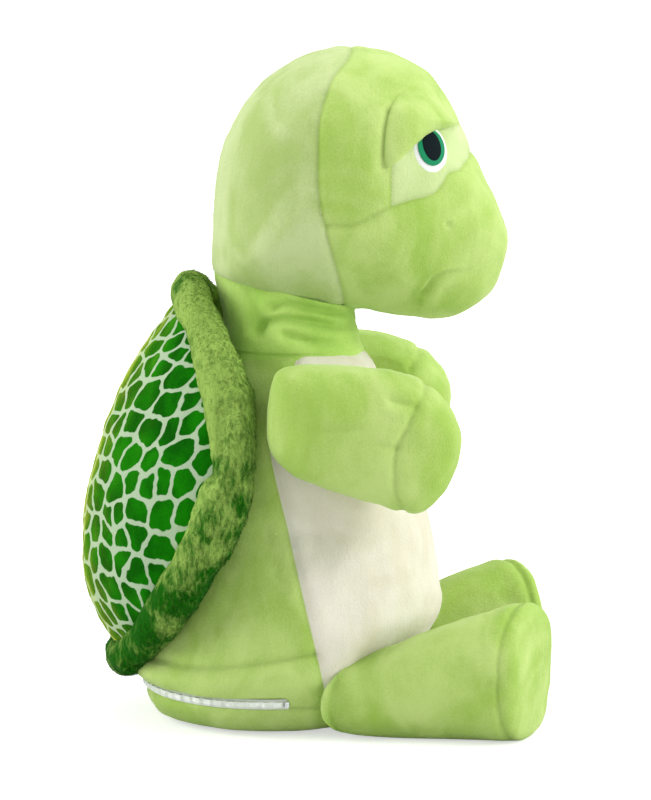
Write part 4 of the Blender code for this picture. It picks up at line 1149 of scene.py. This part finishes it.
def shell_print():
    """Rounded deep green cells on pale lines, over short plush."""
    material, tree, shader = new_finish(
        "shell_print", 0.9, sheen=1.0, tint=(0.9, 1, 0.1), specular=0.03)
    shader.inputs["Sheen Roughness"].default_value = 0.3
    flat = {"X": stored(tree, "across"), "Y": stored(tree, "along")}
    spot = put(tree, "ShaderNodeCombineXYZ", flat).outputs[0]
    wobble = put(tree, "ShaderNodeTexNoise", {"Vector": spot, "Scale": 0.07, "Detail": 2.0})
    shift = put(
        tree, "ShaderNodeVectorMath", {0: wobble.outputs["Color"], 1: (0.5, 0.5, 0.5)},
        operation="SUBTRACT")
    moved = put(
        tree, "ShaderNodeVectorMath", {0: shift.outputs[0], 1: (9, 9, 0), 2: spot},
        operation="MULTIPLY_ADD")
    cell = ramp(tree, rounded_cells(tree, moved.outputs[0]), LINE_FROM, LINE_TO)
    green = brushed_tone(tree, PRINT_DEEP, PRINT_LIGHT, 24)
    colour = blend_colours(tree, cell, (*PRINT_LINES, 1), green)
    tree.links.new(colour, shader.inputs["Base Color"])
    pile = bump(tree, cloudy(tree, object_place(tree), 800, 3), 0.45, 0.6)
    tree.links.new(pile, shader.inputs["Normal"])
    return material


SHELL_PRINT = shell_print()


def stitched(name, colour, roughness=0.6, specular=0.2):
    """Satin stitch: fine threads side by side."""
    material, tree, shader = new_finish(name, roughness, specular=specular)
    threads = put(
        tree, "ShaderNodeTexWave", {"Vector": object_place(tree), "Scale": 900.0, "Distortion": 1.5,
                                    "Detail": 1.0}, bands_direction="Z")
    tone = blend_colours(
        tree, maths(tree, "MULTIPLY", threads.outputs["Fac"], 0.35), (*colour, 1),
        (*[value * 0.6 for value in colour], 1))
    tree.links.new(tone, shader.inputs["Base Color"])
    tree.links.new(bump(tree, threads.outputs["Fac"], 0.4, 0.25), shader.inputs["Normal"])
    return material


EYE_FINISHES = {
    "eye_white": stitched("eye_white_thread", (0.90, 0.92, 0.90)),
    "eye_green": stitched("eye_green_thread", (0.0, 0.25, 0.10)),
    "eye_black": stitched("eye_black_thread", (0.008, 0.014, 0.016), 0.8, 0.03),
}


def woven_tape():
    material, tree, shader = new_finish("tape_weave", 0.85, sheen=0.1)
    weave = put(
        tree, "ShaderNodeTexWave", {"Vector": object_place(tree), "Scale": 480.0},
        bands_direction="Z").outputs["Fac"]
    tone = blend_colours(tree, weave, (0.70, 0.74, 0.68, 1), (0.88, 0.90, 0.86, 1))
    tree.links.new(tone, shader.inputs["Base Color"])
    tree.links.new(bump(tree, weave, 0.5, 0.3), shader.inputs["Normal"])
    return material


def moulded(name, deep, light, roughness, metallic=0.0):
    material, tree, shader = new_finish(name, roughness, metallic, specular=0.5)
    wear = cloudy(tree, object_place(tree), 260, 3)
    tone = blend_colours(tree, ramp(tree, wear, 0.35, 0.65), (*deep, 1), (*light, 1))
    tree.links.new(tone, shader.inputs["Base Color"])
    grain = cloudy(tree, object_place(tree), 900, 2)
    tree.links.new(bump(tree, grain, 0.15, 0.1), shader.inputs["Normal"])
    return material


def finish_zip():
    tape = woven_tape()
    nylon = moulded("zip_nylon", (0.66, 0.72, 0.64), (0.82, 0.86, 0.80), 0.4)
    metal = moulded("zip_metal", (0.42, 0.43, 0.44), (0.62, 0.63, 0.64), 0.3, 1.0)
    finishes = {"zip_tape": tape, "zip_teeth": nylon, "zip_stop_left": metal, "zip_stop_right": metal,
                "zip_slider": metal, "zip_pull": metal}
    for name, material in finishes.items():
        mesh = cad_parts[name].data
        mesh.materials.clear()
        mesh.materials.append(material)


# Studio

CAMERA_PLACE = (-2.10, -0.006, 0.5045)
CAMERA_AIM = (0.0, -0.006, 0.1905)
CAMERA_LENS = 106.6
IMAGE_HEIGHT = 24.0
WORLD_LIGHT = 0.56


def make_camera():
    data = bpy.data.cameras.new("camera")
    data.sensor_fit = "VERTICAL"
    data.sensor_height = IMAGE_HEIGHT
    data.lens = CAMERA_LENS
    data.clip_start = 0.05
    data.clip_end = 100
    camera = bpy.data.objects.new("camera", data)
    bpy.context.scene.collection.objects.link(camera)
    camera.location = CAMERA_PLACE
    look = Vector(CAMERA_AIM) - Vector(CAMERA_PLACE)
    camera.rotation_euler = look.to_track_quat("-Z", "Y").to_euler()
    bpy.context.scene.camera = camera


def soft_lamp(name, place, aim, size, power):
    data = bpy.data.lights.new(name, "AREA")
    data.size = size
    data.energy = power
    lamp = bpy.data.objects.new(name, data)
    bpy.context.scene.collection.objects.link(lamp)
    lamp.location = place
    lamp.rotation_euler = (Vector(aim) - Vector(place)).to_track_quat("-Z", "Y").to_euler()


def seen_as_white(tree):
    """1 for what the camera, gloss and clear pieces see, 0 for light on the object."""
    path = put(tree, "ShaderNodeLightPath").outputs
    seen = maths(tree, "MAXIMUM", path["Is Camera Ray"], path["Is Glossy Ray"])
    return maths(tree, "MAXIMUM", seen, path["Is Transmission Ray"])


def make_studio():
    world = bpy.data.worlds.new("studio")
    bpy.context.scene.world = world
    world.use_nodes = True
    tree = world.node_tree
    strength = ramp(tree, seen_as_white(tree), 0, 1, WORLD_LIGHT, 1.0)
    shader = tree.nodes["Background"]
    shader.inputs["Color"].default_value = (1, 1, 1, 1)
    tree.links.new(strength, shader.inputs["Strength"])

    bm = bmesh.new()
    bmesh.ops.create_grid(bm, x_segments=2, y_segments=2, size=40)
    mesh = bpy.data.meshes.new("floor")
    bm.to_mesh(mesh)
    bm.free()
    floor = bpy.data.objects.new("floor", mesh)
    bpy.context.scene.collection.objects.link(floor)
    material = bpy.data.materials.new("floor_white")
    material.use_nodes = True
    tree = material.node_tree
    output = tree.nodes["Material Output"]
    diffuse = put(tree, "ShaderNodeBsdfDiffuse", {"Color": (0.72, 0.72, 0.72, 1)})
    away = put(tree, "ShaderNodeVectorMath", {0: object_place(tree)}, operation="LENGTH")
    fading_in = ramp(tree, away.outputs["Value"], 0.3, 1.0, 0.55, 0.9)
    strength = maths(tree, "MULTIPLY", seen_as_white(tree), fading_in)
    glow = put(tree, "ShaderNodeEmission", {"Strength": strength})
    both = put(tree, "ShaderNodeAddShader", {0: diffuse.outputs[0], 1: glow.outputs[0]})
    tree.links.new(both.outputs[0], output.inputs["Surface"])
    mesh.materials.append(material)

    soft_lamp("front_light", (-0.5, -2.6, 1.2), (0, 0, 0.2), 1.8, 54)
    soft_lamp("rear_light", (-0.3, 2.5, 1.2), (0, 0, 0.2), 1.8, 44)
    soft_lamp("side_light", (-2.9, 0.2, 0.6), (0, 0, 0.2), 1.8, 8)
    soft_lamp("top_light", (0.3, -0.4, 2.6), (0, 0, 0.1), 2.0, 32)
    bpy.context.scene.view_settings.view_transform = "Standard"


make_head()
make_neck()
make_torso()
make_dome()
make_rim()
for turtle_side, side_name in ((-1, "right"), (1, "left")):
    make_eye(turtle_side, side_name)
    make_lid(turtle_side, side_name)
    make_arm(turtle_side, side_name)
    make_leg(turtle_side, side_name)
finish_zip()
make_camera()
make_studio()
